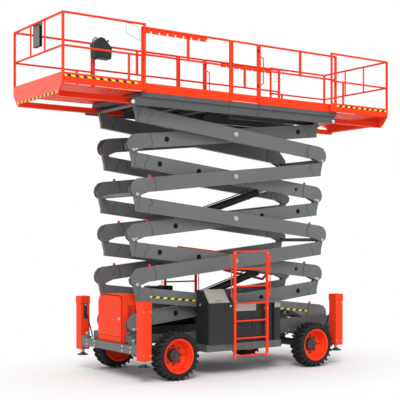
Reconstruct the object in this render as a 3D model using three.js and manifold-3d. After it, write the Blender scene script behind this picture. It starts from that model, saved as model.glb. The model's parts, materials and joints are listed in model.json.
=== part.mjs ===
// Rough-terrain scissor lift, partly raised, with both roll-out decks extended.
// Millimetres, +Z up. -X is the front, the pivot end of the arms. The machine
// is symmetric about the XZ plane. The origin is on the ground.
import * as THREE from "three";
import { mergeVertices } from "three/addons/utils/BufferGeometryUtils.js";
import Module from "manifold-3d";

const wasm = await Module();
wasm.setup();
const { Manifold, Mesh } = wasm;

// ---- Driving dimensions ----
const PIN_GAP = 1.6; // radial clearance of a pin in its hole
const SEAT = 0.3; // gap left between pieces that touch

// Scissor stack
const STAGES = 5;
const ARM_LENGTH = 4334; // pin to pin
const ARM_ANGLE = THREE.MathUtils.degToRad(10.35);
const ARM_DEPTH = 255;
const ARM_WIDTH = 96;
const HUB_RISE = 145; // tube centre above the pin at an arm's lower end
const HORN_DROP = 165; // tube centre below the pin at an arm's upper end
const OUTER_Y = 620; // centre plane of the outer arms
const INNER_Y = 496; // centre plane of the inner arms
const PLATE = 20; // hub plate
const PLATE_PROUD = 6; // hub plate outside the tube's side
const TONGUE = ARM_WIDTH + 2 * (PLATE_PROUD - PLATE - SEAT); // horn, between two hub plates
const PIN_R = 30;
const BOSS_R = 48;
const CENTRE_PIN_R = 36;
const CROSS_R = 55; // cross tube between two inner arms
const SHAFT_R = 34; // through shaft between two outer arms
const BASE_PIN_Z = 862;
const PIN_Z = [...Array(STAGES + 1).keys()].map(
  (k) => BASE_PIN_Z + (STAGES - k) * ARM_LENGTH * Math.sin(ARM_ANGLE),
);
const HALF = ARM_LENGTH / 2;
const PIN_X = HALF * Math.cos(ARM_ANGLE);
const LEFT_X = -PIN_X;
const TOP_PIN_Z = PIN_Z[0];

// Lift cylinders
const LUG_B = -1110; // barrel pin, along the lower arm from its centre
const LUG_A = -1300; // rod pin, along the upper arm from its centre
const ROD_TUBE = LUG_A - 285;
const BARREL_R = 72;
const ROD_R = 44;
const BORE_R = ROD_R + 0.9;
const BARREL_LENGTH = 2230; // pin to gland face
const ROD_LENGTH = 1690; // pin to piston end
const EYE_R = 62;
const EYE_WIDTH = 110;
const LUG_PLATE = 22;
const ROLLER_R = 44; // rollers at the sliding ends of the stack

// Wheels and axles
const FRONT_X = -1590;
const REAR_X = 1540;
const TYRE_R = 420;
const TYRE_WIDTH = 315;
const WHEEL_Y = 1028; // centre plane of a tyre
const RIM_R = 300;
const WHEEL_SIDES = 20;
const KING_Y = 850;

// Chassis
const MEMBER_TOP = 760;
const CHASSIS_X0 = Math.round(-PIN_X - 112); // just beyond the pins at both ends
const CHASSIS_X1 = Math.round(PIN_X + 130);
const CABINET = { x0: CHASSIS_X0 - 36, x1: CHASSIS_X0 + 344, y: 428, z0: 620, z1: 1452 };
const JACK_FRONT_X = CHASSIS_X0 - 6;
const JACK_REAR_X = CHASSIS_X1 - 142;
const JACK_Y = 1088;
const JACK = { wx: 180, wy: 190, wall: 14, z0: 385, z1: 1372 };
const JACK_TUBE = 118;
const PAD_Z = 275;

// Side boxes and ladders
const BOX = { x0: -975, x1: -430, x2: 545, x3: 690, y0: 800, y1: 1165 };
const BOX_Z0 = 570;
const BOX_TOP = 1525;
const BOX_EDGE = 1292;
const STEP_Y = 1075; // face of the box behind the ladder
const STEP_TOP = 1262;
const LADDER_X = -17;
const LADDER_HALF = 370;
const LADDER_Y = 1146;
const RUNGS = 7;
const RUNG_PITCH = 312;
const RUNG_Z = 334;

// Platform
const DECK_Z = Math.round(TOP_PIN_Z + 175);
const DECK_Y = 868;
const BEAM_Y = 795; // inner face of a side beam
const MAIN_X0 = Math.round(LEFT_X - 33);
const MAIN_X1 = Math.round(PIN_X + 206);
const REACH = 1535 - MAIN_X0; // outer face of an extension's end panel
const EXT_Y = 940;
const RAIL_R = 20;
const RAIL_TOP = DECK_Z + 1100;
const RAIL_MID = DECK_Z + 641;
const EXT_TOP = DECK_Z + 1136;
const EXT_MID = DECK_Z + 602;
const TOE = DECK_Z + 155;
const EXT_TOE = DECK_Z + 170;
const GATE = { x0: -252, x1: 372, post: 20 };

const COLOURS = {
  orange: 0xe8451f,
  grey: 0x6c6e70,
  dark: 0x303132,
  black: 0x1c1c1d,
  tyre: 0x202122,
  steel: 0xb4b6b8,
  lid: 0xa29d97,
  red: 0xc92a1c,
};

// ---- Solids ----
function solid(geometry) {
  const g = geometry.clone();
  for (const name of Object.keys(g.attributes)) {
    if (name !== "position") g.deleteAttribute(name);
  }
  const merged = mergeVertices(g, 1e-3);
  return new Manifold(
    new Mesh({
      numProp: 3,
      vertProperties: new Float32Array(merged.attributes.position.array),
      triVerts: new Uint32Array(merged.index.array),
    }),
  );
}

const join = (...parts) => Manifold.union(parts.flat());
const cut = (body, ...parts) => body.subtract(Manifold.union(parts.flat()));
const mirror = (body) => body.mirror([0, 1, 0]);
const both = (body) => [body, mirror(body)];

function box(x0, x1, y0, y1, z0, z1) {
  const g = new THREE.BoxGeometry(x1 - x0, y1 - y0, z1 - z0);
  return solid(g.translate((x0 + x1) / 2, (y0 + y1) / 2, (z0 + z1) / 2));
}

function shapeOf(points) {
  return new THREE.Shape(points.map(([u, v]) => new THREE.Vector2(u, v)));
}

// A plate with its outline in XZ, from y0 to y1.
function plateXZ(points, y0, y1) {
  const g = new THREE.ExtrudeGeometry(shapeOf(points), {
    depth: y1 - y0,
    bevelEnabled: false,
  });
  const m = new THREE.Matrix4().set(1, 0, 0, 0, 0, 0, -1, y1, 0, 1, 0, 0, 0, 0, 0, 1);
  return solid(g.applyMatrix4(m));
}

// A plate with its outline in YZ, from x0 to x1.
function plateYZ(points, x0, x1) {
  const g = new THREE.ExtrudeGeometry(shapeOf(points), {
    depth: x1 - x0,
    bevelEnabled: false,
  });
  const m = new THREE.Matrix4().set(0, 0, 1, x0, 1, 0, 0, 0, 0, 1, 0, 0, 0, 0, 0, 1);
  return solid(g.applyMatrix4(m));
}

// A plate with its outline in XY, from z0 to z1.
function plateXY(points, z0, z1) {
  const g = new THREE.ExtrudeGeometry(shapeOf(points), {
    depth: z1 - z0,
    bevelEnabled: false,
  });
  return solid(g.translate(0, 0, z0));
}

// A round bar between two points.
function bar(a, b, r, sides = 10, extra = 0) {
  const from = new THREE.Vector3(...a);
  const to = new THREE.Vector3(...b);
  const along = to.clone().sub(from);
  const length = along.length();
  const g = new THREE.CylinderGeometry(r, r, length + 2 * extra, sides);
  const q = new THREE.Quaternion().setFromUnitVectors(
    new THREE.Vector3(0, 1, 0),
    along.normalize(),
  );
  const mid = from.add(to).multiplyScalar(0.5);
  return solid(g.applyQuaternion(q).translate(mid.x, mid.y, mid.z));
}

const rodY = (x, z, r, y0, y1, sides = 12) => bar([x, y0, z], [x, y1, z], r, sides);
const rodX = (y, z, r, x0, x1, sides = 12) => bar([x0, y, z], [x1, y, z], r, sides);
const rodZ = (x, y, r, z0, z1, sides = 12) => bar([x, y, z0], [x, y, z1], r, sides);

// A turned body about the Y axis. The outline runs from low y to high y.
function turned(outline, sides, x, z) {
  const points = outline.map(([r, y]) => new THREE.Vector2(r, y));
  const g = new THREE.LatheGeometry(points, sides);
  return solid(g.translate(x, 0, z));
}

function arc(cx, cy, r, from, to, steps) {
  return [...Array(steps + 1).keys()].map((i) => {
    const a = THREE.MathUtils.degToRad(from + ((to - from) * i) / steps);
    return [cx + r * Math.cos(a), cy + r * Math.sin(a)];
  });
}

// ---- The part's group ----
const root = new THREE.Group();
root.name = "scissor_lift";

function add(name, body, colour, roughness = 0.5, metalness = 0.1) {
  const { vertProperties, triVerts, numProp } = body.asOriginal().simplify(0.02).getMesh();
  const g = new THREE.BufferGeometry();
  const count = vertProperties.length / numProp;
  const position = new Float32Array(count * 3);
  for (let i = 0; i < count; i += 1) {
    for (let j = 0; j < 3; j += 1) {
      position[3 * i + j] = vertProperties[numProp * i + j];
    }
  }
  g.setAttribute("position", new THREE.BufferAttribute(position, 3));
  g.setIndex(new THREE.BufferAttribute(new Uint32Array(triVerts), 1));
  g.computeVertexNormals();
  const material = new THREE.MeshStandardMaterial({
    color: COLOURS[colour],
    roughness,
    metalness,
  });
  const mesh = new THREE.Mesh(g, material);
  mesh.name = name;
  root.add(mesh);
}

// ---- Scissor arms ----
// An arm's own frame: u runs from the hub pin to the horn pin, n is upwards.
const TILT = Math.atan((HUB_RISE + HORN_DROP) / ARM_LENGTH);
const tubeTop = (u) => HUB_RISE - u * Math.tan(TILT) + ARM_DEPTH / 2 / Math.cos(TILT);
const tubeBottom = (u) => tubeTop(u) - ARM_DEPTH / Math.cos(TILT);
const TUBE_START = 135;
const TUBE_END = ARM_LENGTH - 78;

const tubeOutline = [
  [TUBE_START, tubeBottom(TUBE_START)],
  [TUBE_END, tubeBottom(TUBE_END)],
  [TUBE_END, tubeTop(TUBE_END)],
  [TUBE_START, tubeTop(TUBE_START)],
];
const hubOutline = [
  [0, -BOSS_R],
  [60, -30],
  [230, tubeBottom(230)],
  [378, tubeBottom(378)],
  [404, 88],
  [404, tubeTop(404) - 68],
  [378, tubeTop(378)],
  [100, tubeTop(100)],
  [5, 252],
  [-70, 190],
  [-100, 108],
  [-92, 30],
  ...arc(0, 0, BOSS_R, 205, 240, 1),
];
const innerHubOutline = hubOutline.filter((_, i) => ![1, 3, 4, 5, 8, 9].includes(i));
const tongueOutline = [
  ...arc(ARM_LENGTH, 0, BOSS_R, 10, 125, 2),
  [ARM_LENGTH - 110, tubeTop(ARM_LENGTH - 110)],
  [ARM_LENGTH - 110, tubeBottom(ARM_LENGTH - 110) + 5],
  [ARM_LENGTH - 62, tubeBottom(ARM_LENGTH - 62)],
  [ARM_LENGTH - 42, -205],
  [ARM_LENGTH + 12, -88],
];

// The arms of type B rise to the right, those of type A rise to the left.
function placer(type, stage) {
  const cz = (PIN_Z[stage - 1] + PIN_Z[stage]) / 2;
  const side = type === "B" ? 1 : -1;
  const c = Math.cos(ARM_ANGLE);
  const s = Math.sin(ARM_ANGLE);
  return ([u, n]) => {
    const along = u - HALF;
    return [side * (along * c - n * s), cz + along * s + n * c];
  };
}

// One side's arm, with its inner and outer hub plates and its horn.
function armSide(place, y) {
  const w = ARM_WIDTH / 2;
  const p = (outline) => outline.map(place);
  const outside = w + PLATE_PROUD;
  const inside = outside - PLATE;
  return join(
    plateXZ(p(tubeOutline), y - w, y + w),
    plateXZ(p(hubOutline), y + inside, y + outside),
    plateXZ(p(innerHubOutline), y - outside, y - inside),
    plateXZ(p(tongueOutline), y - TONGUE / 2, y + TONGUE / 2),
  );
}

// Cross tubes of the inner frames, from the centre pin towards the horn.
const LUG_TUBE = LUG_B - 150;
const CROSS = {
  B1: [-1450, 1624],
  A2: [750, 1590],
  B3: [LUG_TUBE, 715, 1624],
  A4: [750, 1590],
  B5: [LUG_TUBE, 700, 1624],
};

// Where a point lies that is "s" along the arm from its centre, on the tube's centre line.
const onTube = (s) => [HALF + s, tubeTop(HALF + s) - ARM_DEPTH / 2 / Math.cos(TILT)];

function armFrame(type, stage, options) {
  const place = placer(type, stage);
  const outer = options.outer;
  const y = outer ? OUTER_Y : INNER_Y;
  const hub = place([0, 0]);
  const horn = place([ARM_LENGTH, 0]);
  const centre = place([HALF, 0]);
  const faceOut = y + ARM_WIDTH / 2 + PLATE_PROUD;
  const faceIn = y - ARM_WIDTH / 2 - PLATE_PROUD;
  const adds = both(armSide(place, y));
  const cuts = [];
  for (const s of options.tubes ?? []) {
    const [x, z] = place(onTube(s));
    adds.push(rodY(x, z, CROSS_R, -y, y, 8));
    cuts.push(rodY(x, z, CROSS_R - 14, -y - 100, y + 100, 8));
  }
  for (const s of options.holes ?? []) {
    const [x, z] = place(onTube(s));
    cuts.push(...both(rodY(x, z, CROSS_R - 14, y - 100, y + 100, 8)));
  }
  if (outer) {
    cuts.push(...both(rodY(...centre, CENTRE_PIN_R + PIN_GAP, y - 100, y + 100)));
  } else {
    adds.push(...both(rodY(...centre, CENTRE_PIN_R, y, OUTER_Y + ARM_WIDTH / 2 + 10)));
    adds.push(
      ...both(
        rodY(
          ...centre,
          CENTRE_PIN_R + 12,
          OUTER_Y + ARM_WIDTH / 2 + SEAT,
          OUTER_Y + ARM_WIDTH / 2 + 12,
        ),
      ),
    );
  }
  if (options.hubPin === "own") {
    adds.push(...both(rodY(...hub, PIN_R, faceIn, faceOut + 14)));
  } else {
    cuts.push(...both(rodY(...hub, PIN_R + PIN_GAP, faceIn - 50, faceOut + 50)));
  }
  if (options.hornPin === "own") {
    const reach = options.hornReach ?? [faceIn - 2, faceOut + 14];
    adds.push(...both(rodY(...horn, PIN_R, ...reach)));
  } else {
    cuts.push(...both(rodY(...horn, PIN_R + PIN_GAP, faceIn - 50, faceOut + 50)));
  }
  if (options.shaft) {
    const [x, z] = options.shaft === "hub" ? hub : horn;
    adds.push(rodY(x, z, PIN_R, -y, y));
    const end = options.shaft === "hub" ? faceIn + 4 : faceIn - 8;
    adds.push(rodY(x, z, SHAFT_R, -end, end, 10));
  }
  adds.push(...(options.extras ?? []));
  return cut(join(adds), cuts);
}

// A lug plate from a cross tube to a cylinder's pin.
const LUG_Y = EYE_WIDTH / 2 + SEAT;
function lugPlate(place, tubeAt, pinAt) {
  const [tubeU, tubeN] = onTube(tubeAt);
  const [pinU, pinN] = onTube(pinAt);
  const outline = [
    [pinU, pinN + EYE_R],
    [pinU, pinN - EYE_R],
    [tubeU, tubeN - CROSS_R],
    [tubeU, tubeN + CROSS_R],
  ];
  const eye = place([pinU, pinN]);
  return join(
    plateXZ(outline.map(place), LUG_Y, LUG_Y + LUG_PLATE),
    rodY(...eye, EYE_R, LUG_Y, LUG_Y + LUG_PLATE),
  );
}

// The barrel's lugs carry its pin.
function barrelLugs(stage) {
  const place = placer("B", stage);
  const y1 = LUG_Y + LUG_PLATE;
  const eye = place(onTube(LUG_B));
  return {
    eye,
    bodies: [...both(lugPlate(place, LUG_TUBE, LUG_B)), rodY(...eye, PIN_R, -y1 - 10, y1 + 10)],
  };
}

// The cross tube stops at each rod lug, so that the rod's eye has a free slot.
function rodLugs(stage) {
  const place = placer("A", stage);
  const eye = place(onTube(LUG_A));
  const [x, z] = place(onTube(ROD_TUBE));
  const plate = cut(
    join(lugPlate(place, ROD_TUBE, LUG_A), rodY(x, z, CROSS_R, LUG_Y, INNER_Y, 8)),
    rodY(...eye, PIN_R + PIN_GAP, LUG_Y - 5, LUG_Y + LUG_PLATE + 5),
  );
  return { eye, bodies: both(plate) };
}
const CYLINDERS = {
  lower: { base: barrelLugs(5), top: rodLugs(4) },
  upper: { base: barrelLugs(3), top: rodLugs(2) },
};

const roller = (x, z, y0, y1) => rodY(x, z, ROLLER_R, y0, y1, 16);
const FRAMES = {
  A1: { outer: true, hubPin: "hole", hornPin: "own", shaft: "horn" },
  B1: { outer: false, hubPin: "own", hornPin: "own", hornReach: [384, INNER_Y + 40] },
  A2: { outer: false, hubPin: "own", hornPin: "hole" },
  B2: { outer: true, hubPin: "hole", hornPin: "own", shaft: "horn" },
  A3: { outer: true, hubPin: "hole", hornPin: "own", shaft: "horn" },
  B3: { outer: false, hubPin: "own", hornPin: "hole" },
  A4: { outer: false, hubPin: "own", hornPin: "hole" },
  B4: { outer: true, hubPin: "own", hornPin: "own", shaft: "horn" },
  A5: { outer: true, hubPin: "own", hornPin: "hole", shaft: "hub" },
  B5: { outer: false, hubPin: "own", hornPin: "hole" },
};
for (const [name, options] of Object.entries(FRAMES)) {
  const type = name[0];
  const stage = Number(name[1]);
  const place = placer(type, stage);
  options.tubes = CROSS[name] ?? [];
  options.extras = [];
  if (name === "B5") options.extras.push(...CYLINDERS.lower.base.bodies);
  if (name === "B3") options.extras.push(...CYLINDERS.upper.base.bodies);
  if (name === "A4") options.extras.push(...CYLINDERS.lower.top.bodies);
  if (name === "A2") options.extras.push(...CYLINDERS.upper.top.bodies);
  if (name === "A4" || name === "A2") options.holes = [ROD_TUBE];
  if (name === "B1") {
    const [x, z] = place([ARM_LENGTH, 0]);
    options.extras.push(...both(roller(x, z, 386, 430)));
  }
  if (name === "A5") {
    const [x, z] = place([0, 0]);
    options.extras.push(...both(roller(x, z, 690, 740)));
    options.extras.push(...both(rodY(x, z, PIN_R, OUTER_Y, 715)));
  }
  add(`arm_frame_${name.toLowerCase()}`, armFrame(type, stage, options), "grey");
}

// ---- Lift cylinders ----
for (const [name, { base, top }] of Object.entries(CYLINDERS)) {
  const [x0, z0] = base.eye;
  const [x1, z1] = top.eye;
  const length = Math.hypot(x1 - x0, z1 - z0);
  const ux = (x1 - x0) / length;
  const uz = (z1 - z0) / length;
  const at = (d) => [x0 + ux * d, 0, z0 + uz * d];
  const half = EYE_WIDTH / 2;
  const barrel = cut(
    join(
      bar(at(20), at(100), half - 10, 10),
      bar(at(85), at(BARREL_LENGTH), BARREL_R, 14),
      bar(at(BARREL_LENGTH - 70), at(BARREL_LENGTH - 0.1), BARREL_R + 8, 14),
      rodY(x0, z0, EYE_R, -half, half, 14),
    ),
    bar(at(160), at(BARREL_LENGTH + 10), BORE_R, 14),
    rodY(x0, z0, PIN_R + PIN_GAP, -half - 5, half + 5),
  );
  const rod = join(
    bar(at(length - ROD_LENGTH), at(length - 20), ROD_R, 14),
    rodY(x1, z1, EYE_R, -half, half, 14),
  );
  add(`${name}_lift_barrel`, barrel, "black");
  add(`${name}_lift_rod`, rod, "steel", 0.25, 0.8);
}

// ---- Maintenance props, each hung from a plate on a cross tube of an arm frame ----
// Points are along the arm from its centre and off its centre line. "up" is 1 above the arm.
const PROP_Y = 250;
const PROP_R = 25;
function prop(stage, y, { up, tube, plate, from, to, hook }) {
  const place = placer("A", stage);
  const p = ([s, n]) => place([HALF + s, onTube(s)[1] + n]);
  const at = ([s, n]) => {
    const [x, z] = p([s, n]);
    return [x, y, z];
  };
  const outline = [
    [tube - 45, up * (CROSS_R + SEAT)],
    [tube + 45, up * (CROSS_R + SEAT)],
    [plate[0] + 30, plate[1]],
    [plate[0] - 30, plate[1]],
  ].map(p);
  return join(
    bar(at(from), at(to), PROP_R, 10),
    plateXZ(outline, y - 10, y + 10),
    bar(at(hook), at([hook[0], hook[1] - 60]), PROP_R - 6, 10),
  );
}
const upperProp = {
  up: 1,
  tube: CROSS.A4[0],
  plate: [CROSS.A4[0], 160],
  from: [1040, 150],
  to: [120, 150],
  hook: [140, 150],
};
const lowerProp = {
  up: -1,
  tube: ROD_TUBE,
  plate: [-1405, -252],
  from: [-1430, -243],
  to: [-430, -146],
  hook: [-930, -195],
};
add("maintenance_prop", prop(4, -PROP_Y, upperProp), "red");
add("lower_maintenance_prop", prop(4, PROP_Y, lowerProp), "red");

// ---- Wheels ----
const HUB_Y = WHEEL_Y + 4; // back of the wheel's disc
const BEAD_R = RIM_R - 24;
const rimOutline = [
  [0, HUB_Y],
  [RIM_R - 42, HUB_Y],
  [RIM_R - 42, WHEEL_Y - 148],
  [RIM_R, WHEEL_Y - 148],
  [BEAD_R, WHEEL_Y - 132],
  [BEAD_R, WHEEL_Y + 120],
  [RIM_R, WHEEL_Y + 132],
  [RIM_R - 8, WHEEL_Y + 138],
  [RIM_R - 50, WHEEL_Y + 34],
  [92, WHEEL_Y + 22],
  [90, WHEEL_Y + 62],
  [0, WHEEL_Y + 62],
];
const tyreOutline = [
  [BEAD_R + SEAT, WHEEL_Y + 112],
  [BEAD_R + SEAT, WHEEL_Y - 124],
  [RIM_R + 3, WHEEL_Y - 135],
  [TYRE_R - 40, WHEEL_Y - TYRE_WIDTH / 2],
  [TYRE_R, WHEEL_Y - 123],
  [TYRE_R, WHEEL_Y + 123],
  [TYRE_R - 40, WHEEL_Y + TYRE_WIDTH / 2],
  [RIM_R + 3, WHEEL_Y + 124],
  [BEAD_R + SEAT, WHEEL_Y + 112],
];
const CORNERS = [
  ["front_far", FRONT_X, 1],
  ["front_near", FRONT_X, -1],
  ["rear_far", REAR_X, 1],
  ["rear_near", REAR_X, -1],
];
const sided = (body, side) => (side > 0 ? body : mirror(body));
for (const [name, x, side] of CORNERS) {
  add(`${name}_rim`, sided(turned(rimOutline, WHEEL_SIDES, x, TYRE_R), side), "orange");
  add(`${name}_tyre`, sided(turned(tyreOutline, WHEEL_SIDES, x, TYRE_R), side), "tyre", 0.9, 0);
}

// ---- Axles and steering knuckles ----
const YOKE = { gap: 84, plate: 22 };
const axleTube = (x, end) =>
  join(
    rodY(x, TYRE_R, 72, -end, end, 12),
    rodY(x, TYRE_R, 105, -95, 95, 12),
    box(x - 90, x + 90, -150, 150, TYRE_R + 40, TYRE_R + 125),
  );
const yoke = join(
  box(FRONT_X - 60, FRONT_X + 60, 730, 772, TYRE_R - 106, TYRE_R + 106),
  ...[TYRE_R + YOKE.gap, TYRE_R - YOKE.gap - YOKE.plate].map((z) =>
    join(
      box(FRONT_X - 50, FRONT_X + 50, 760, KING_Y, z, z + YOKE.plate),
      rodZ(FRONT_X, KING_Y, 50, z, z + YOKE.plate, 10),
    ),
  ),
);
const kingBore = rodZ(FRONT_X, KING_Y, 24 + PIN_GAP, TYRE_R - 150, TYRE_R + 150);
add("front_axle", cut(join(axleTube(FRONT_X, 760), both(yoke)), both(kingBore)), "dark");
add(
  "rear_axle",
  join(
    axleTube(REAR_X, 840),
    both(rodY(REAR_X, TYRE_R, 110, 835, 905, 16)),
    both(rodY(REAR_X, TYRE_R, 70, 900, HUB_Y - SEAT, 16)),
  ),
  "dark",
);
const KNUCKLE_H = YOKE.gap - SEAT;
const knuckle = join(
  box(FRONT_X - 42, FRONT_X + 42, KING_Y - 42, KING_Y + 60, TYRE_R - KNUCKLE_H, TYRE_R + KNUCKLE_H),
  rodZ(FRONT_X, KING_Y, 24, TYRE_R - YOKE.gap - YOKE.plate - 4, TYRE_R + YOKE.gap + YOKE.plate + 4),
  rodY(FRONT_X, TYRE_R, 70, KING_Y + 50, HUB_Y - SEAT, 16),
  box(FRONT_X - 230, FRONT_X - 30, KING_Y - 30, KING_Y - 6, TYRE_R - 60, TYRE_R - 30),
);
add("front_far_knuckle", knuckle, "dark");
add("front_near_knuckle", mirror(knuckle), "dark");

// ---- Chassis ----
const memberOutline = [
  [CHASSIS_X0, 632],
  [-1130, 632],
  [-1010, 470],
  [960, 470],
  [1080, 632],
  [CHASSIS_X1, 632],
  [CHASSIS_X1, MEMBER_TOP],
  [CHASSIS_X0, MEMBER_TOP],
];
const RAIL_X0 = 40;
const RAIL_X1 = CHASSIS_X1 - 4;
const SILL = { y0: 670, y1: 1130, z0: 440, z1: BOX_Z0 - SEAT };
const chassisSide = join(
  plateXZ(memberOutline, 580, 680),
  box(RAIL_X0, RAIL_X1, 670, 762, 640, 784),
  box(RAIL_X0, RAIL_X1, 684, 762, 780, BASE_PIN_Z - ROLLER_R - SEAT),
  box(RAIL_X0, RAIL_X1, 746, 762, 780, BASE_PIN_Z + 64),
  box(RAIL_X0, RAIL_X1, 686, 762, BASE_PIN_Z + ROLLER_R + 2, BASE_PIN_Z + 64),
  box(CHASSIS_X0, CHASSIS_X0 + 254, 444, 590, 640, MEMBER_TOP),
  plateXZ(
    [
      [LEFT_X - 110, MEMBER_TOP - 10],
      [LEFT_X + 110, MEMBER_TOP - 10],
      ...arc(LEFT_X, BASE_PIN_Z, BOSS_R, -20, 200, 6),
    ],
    INNER_Y - TONGUE / 2,
    INNER_Y + TONGUE / 2,
  ),
  box(BOX.x0 - 8, BOX.x3 + 8, SILL.y0, SILL.y1, SILL.z0, SILL.z1),
);
const crossMember = (x0, x1, z0, z1) => box(x0, x1, -600, 600, z0, z1);
const chassis = cut(
  join(
    both(chassisSide),
    crossMember(CHASSIS_X0, CHASSIS_X0 + 54, 470, 612),
    crossMember(CHASSIS_X0, CABINET.x1 + 20, 590, CABINET.z0 - SEAT),
    both(box(CHASSIS_X0, CABINET.x1 + 20, 560, 680, 590, 660)),
    crossMember(CABINET.x1 + 40, CABINET.x1 + 110, 640, 740),
    crossMember(-1690, -1490, 625, 700),
    box(FRONT_X - 90, FRONT_X + 90, -150, 150, TYRE_R + 125 + SEAT, 640),
    crossMember(-1090, -1000, 480, 640),
    crossMember(-1000, 960, 470, 486),
    crossMember(-60, 40, 480, 640),
    crossMember(880, 960, 480, 640),
    crossMember(1440, 1640, 640, 715),
    box(REAR_X - 90, REAR_X + 90, -150, 150, TYRE_R + 125 + SEAT, 650),
    box(CHASSIS_X1 - 32, CHASSIS_X1, -762, 762, 480, 800),
  ),
  both(rodY(LEFT_X, BASE_PIN_Z, PIN_R + PIN_GAP, 400, 600)),
);
add("chassis_frame", chassis, "grey");

// ---- Outriggers ----
const jackFoot = (x) =>
  join(
    rodZ(x, JACK_Y, 108, PAD_Z, PAD_Z + 14, 20),
    rodZ(x, JACK_Y, 46, PAD_Z + 10, PAD_Z + 48, 14),
    rodZ(x, JACK_Y, 30, PAD_Z + 40, 400, 14),
    box(
      x - JACK_TUBE / 2,
      x + JACK_TUBE / 2,
      JACK_Y - JACK_TUBE / 2,
      JACK_Y + JACK_TUBE / 2,
      392,
      1200,
    ),
    box(
      x - JACK.wx / 2 + JACK.wall + SEAT,
      x + JACK.wx / 2 - JACK.wall - SEAT,
      JACK_Y - JACK.wy / 2 + JACK.wall + SEAT,
      JACK_Y + JACK.wy / 2 - JACK.wall - SEAT,
      1130,
      1200,
    ),
  );
function jackHousing(x) {
  const { wx, wy, wall, z0, z1 } = JACK;
  const shell = box(x - wx / 2, x + wx / 2, JACK_Y - wy / 2, JACK_Y + wy / 2, z0, z1);
  const bore = box(
    x - wx / 2 + wall,
    x + wx / 2 - wall,
    JACK_Y - wy / 2 + wall,
    JACK_Y + wy / 2 - wall,
    z0 - 10,
    z1 - wall,
  );
  const slot = box(x - 34, x + 34, JACK_Y - wy / 2 - 5, JACK_Y - wy / 2 + wall + 5, 950, 1290);
  return cut(join(shell, box(x - wx / 2 - 6, x + wx / 2 + 6, 984, 1189, 1240, z1)), bore, slot);
}
function outriggerFrame(x, x0, x1) {
  const mid = (x0 + x1) / 2;
  const inner = JACK_Y - JACK.wy / 2;
  const bracket = join(
    box(Math.min(x0, x - 60), Math.max(x1, x + 60), 860, inner + 6, 440, 640),
    rodZ(mid, 830, 38, 455, 700),
  );
  return join(
    box(x0, x1, -900, 900, 470, 612),
    both(cut(bracket, box(x - 90, x + 90, 905, 945, 430, 480))),
    both(jackHousing(x)),
  );
}
add("front_outrigger_frame", outriggerFrame(JACK_FRONT_X, CHASSIS_X0 - 86, CHASSIS_X0 - SEAT), "orange");
add("rear_outrigger_frame", outriggerFrame(JACK_REAR_X, CHASSIS_X1 + SEAT, CHASSIS_X1 + 78), "orange");
for (const [name, x, side] of CORNERS) {
  const jx = x === FRONT_X ? JACK_FRONT_X : JACK_REAR_X;
  add(`${name}_jack_foot`, sided(jackFoot(jx), side), "steel", 0.35, 0.6);
}

// ---- End cabinet ----
const cab = CABINET;
add(
  "end_cabinet",
  cut(
    box(cab.x0, cab.x1, -cab.y, cab.y, cab.z0, cab.z1),
    box(cab.x0 + 20, cab.x1 - 12, -cab.y + 12, cab.y - 12, cab.z0 + 12, cab.z1 - 12),
    box(cab.x0 - 5, cab.x0 + 30, -cab.y + 42, cab.y - 42, cab.z0 + 45, cab.z1 - 42),
  ),
  "orange",
);
const CAB_DOOR_Y = cab.y - 24;
add(
  "end_cabinet_door",
  join(
    box(cab.x0 - 18, cab.x0 - SEAT, -CAB_DOOR_Y, CAB_DOOR_Y, cab.z0 + 24, cab.z1 - 20),
    box(cab.x0 - 26, cab.x0 - 10, -CAB_DOOR_Y + 40, -CAB_DOOR_Y + 85, 1015, 1060),
  ),
  "orange",
);

// ---- Side boxes, each with a hinged lid ----
const LID_X0 = BOX.x0 + 8;
const LID_X1 = -520;
const boxSection = [
  [BOX.y0, BOX_Z0],
  [BOX.y1, BOX_Z0],
  [BOX.y1, BOX_EDGE],
  [985, BOX_TOP],
  [BOX.y0, BOX_TOP],
];
const boxInside = [
  [BOX.y0 + 12, BOX_Z0 + 12],
  [BOX.y1 - 12, BOX_Z0 + 12],
  [BOX.y1 - 12, BOX_EDGE - 5],
  [980, BOX_TOP - 12],
  [BOX.y0 + 12, BOX_TOP - 12],
];
const lidEdge = [BOX.y1 - 985, BOX_EDGE - BOX_TOP];
const lidLength = Math.hypot(...lidEdge);
const [ly, lz] = lidEdge.map((v) => v / lidLength);
const onLid = (d, off) => [985 + ly * d - lz * off, BOX_TOP + lz * d + ly * off];
const lidPlate = (d0, d1, o0, o1, x0, x1) =>
  plateYZ([onLid(d0, o0), onLid(d1, o0), onLid(d1, o1), onLid(d0, o1)], x0, x1);
const sideBox = join(
  cut(
    plateYZ(boxSection, BOX.x0, BOX.x1),
    plateYZ(boxInside, BOX.x0 + 12, BOX.x1 - 12),
    lidPlate(28, lidLength - 28, -40, 40, LID_X0 + 25, LID_X1 - 25),
  ),
  box(BOX.x1 - 12, BOX.x2, BOX.y0, STEP_Y, BOX_Z0, STEP_TOP),
  box(BOX.x2 - 5, BOX.x3, BOX.y0, 1120, BOX_Z0, STEP_TOP),
);
const sideLid = join(
  lidPlate(8, lidLength - 4, SEAT, 14, LID_X0, LID_X1),
  lidPlate(lidLength - 34, lidLength - 18, 12, 30, -790, -700),
);
add("far_side_box", sideBox, "black", 0.45);
add("far_side_lid", sideLid, "lid", 0.4, 0.3);
add("near_side_box", mirror(sideBox), "black", 0.45);
add("near_side_lid", mirror(sideLid), "lid", 0.4, 0.3);
add("engine_block", box(-940, -470, 830, 1130, BOX_Z0 + 12 + SEAT, 1230), "dark");

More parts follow.
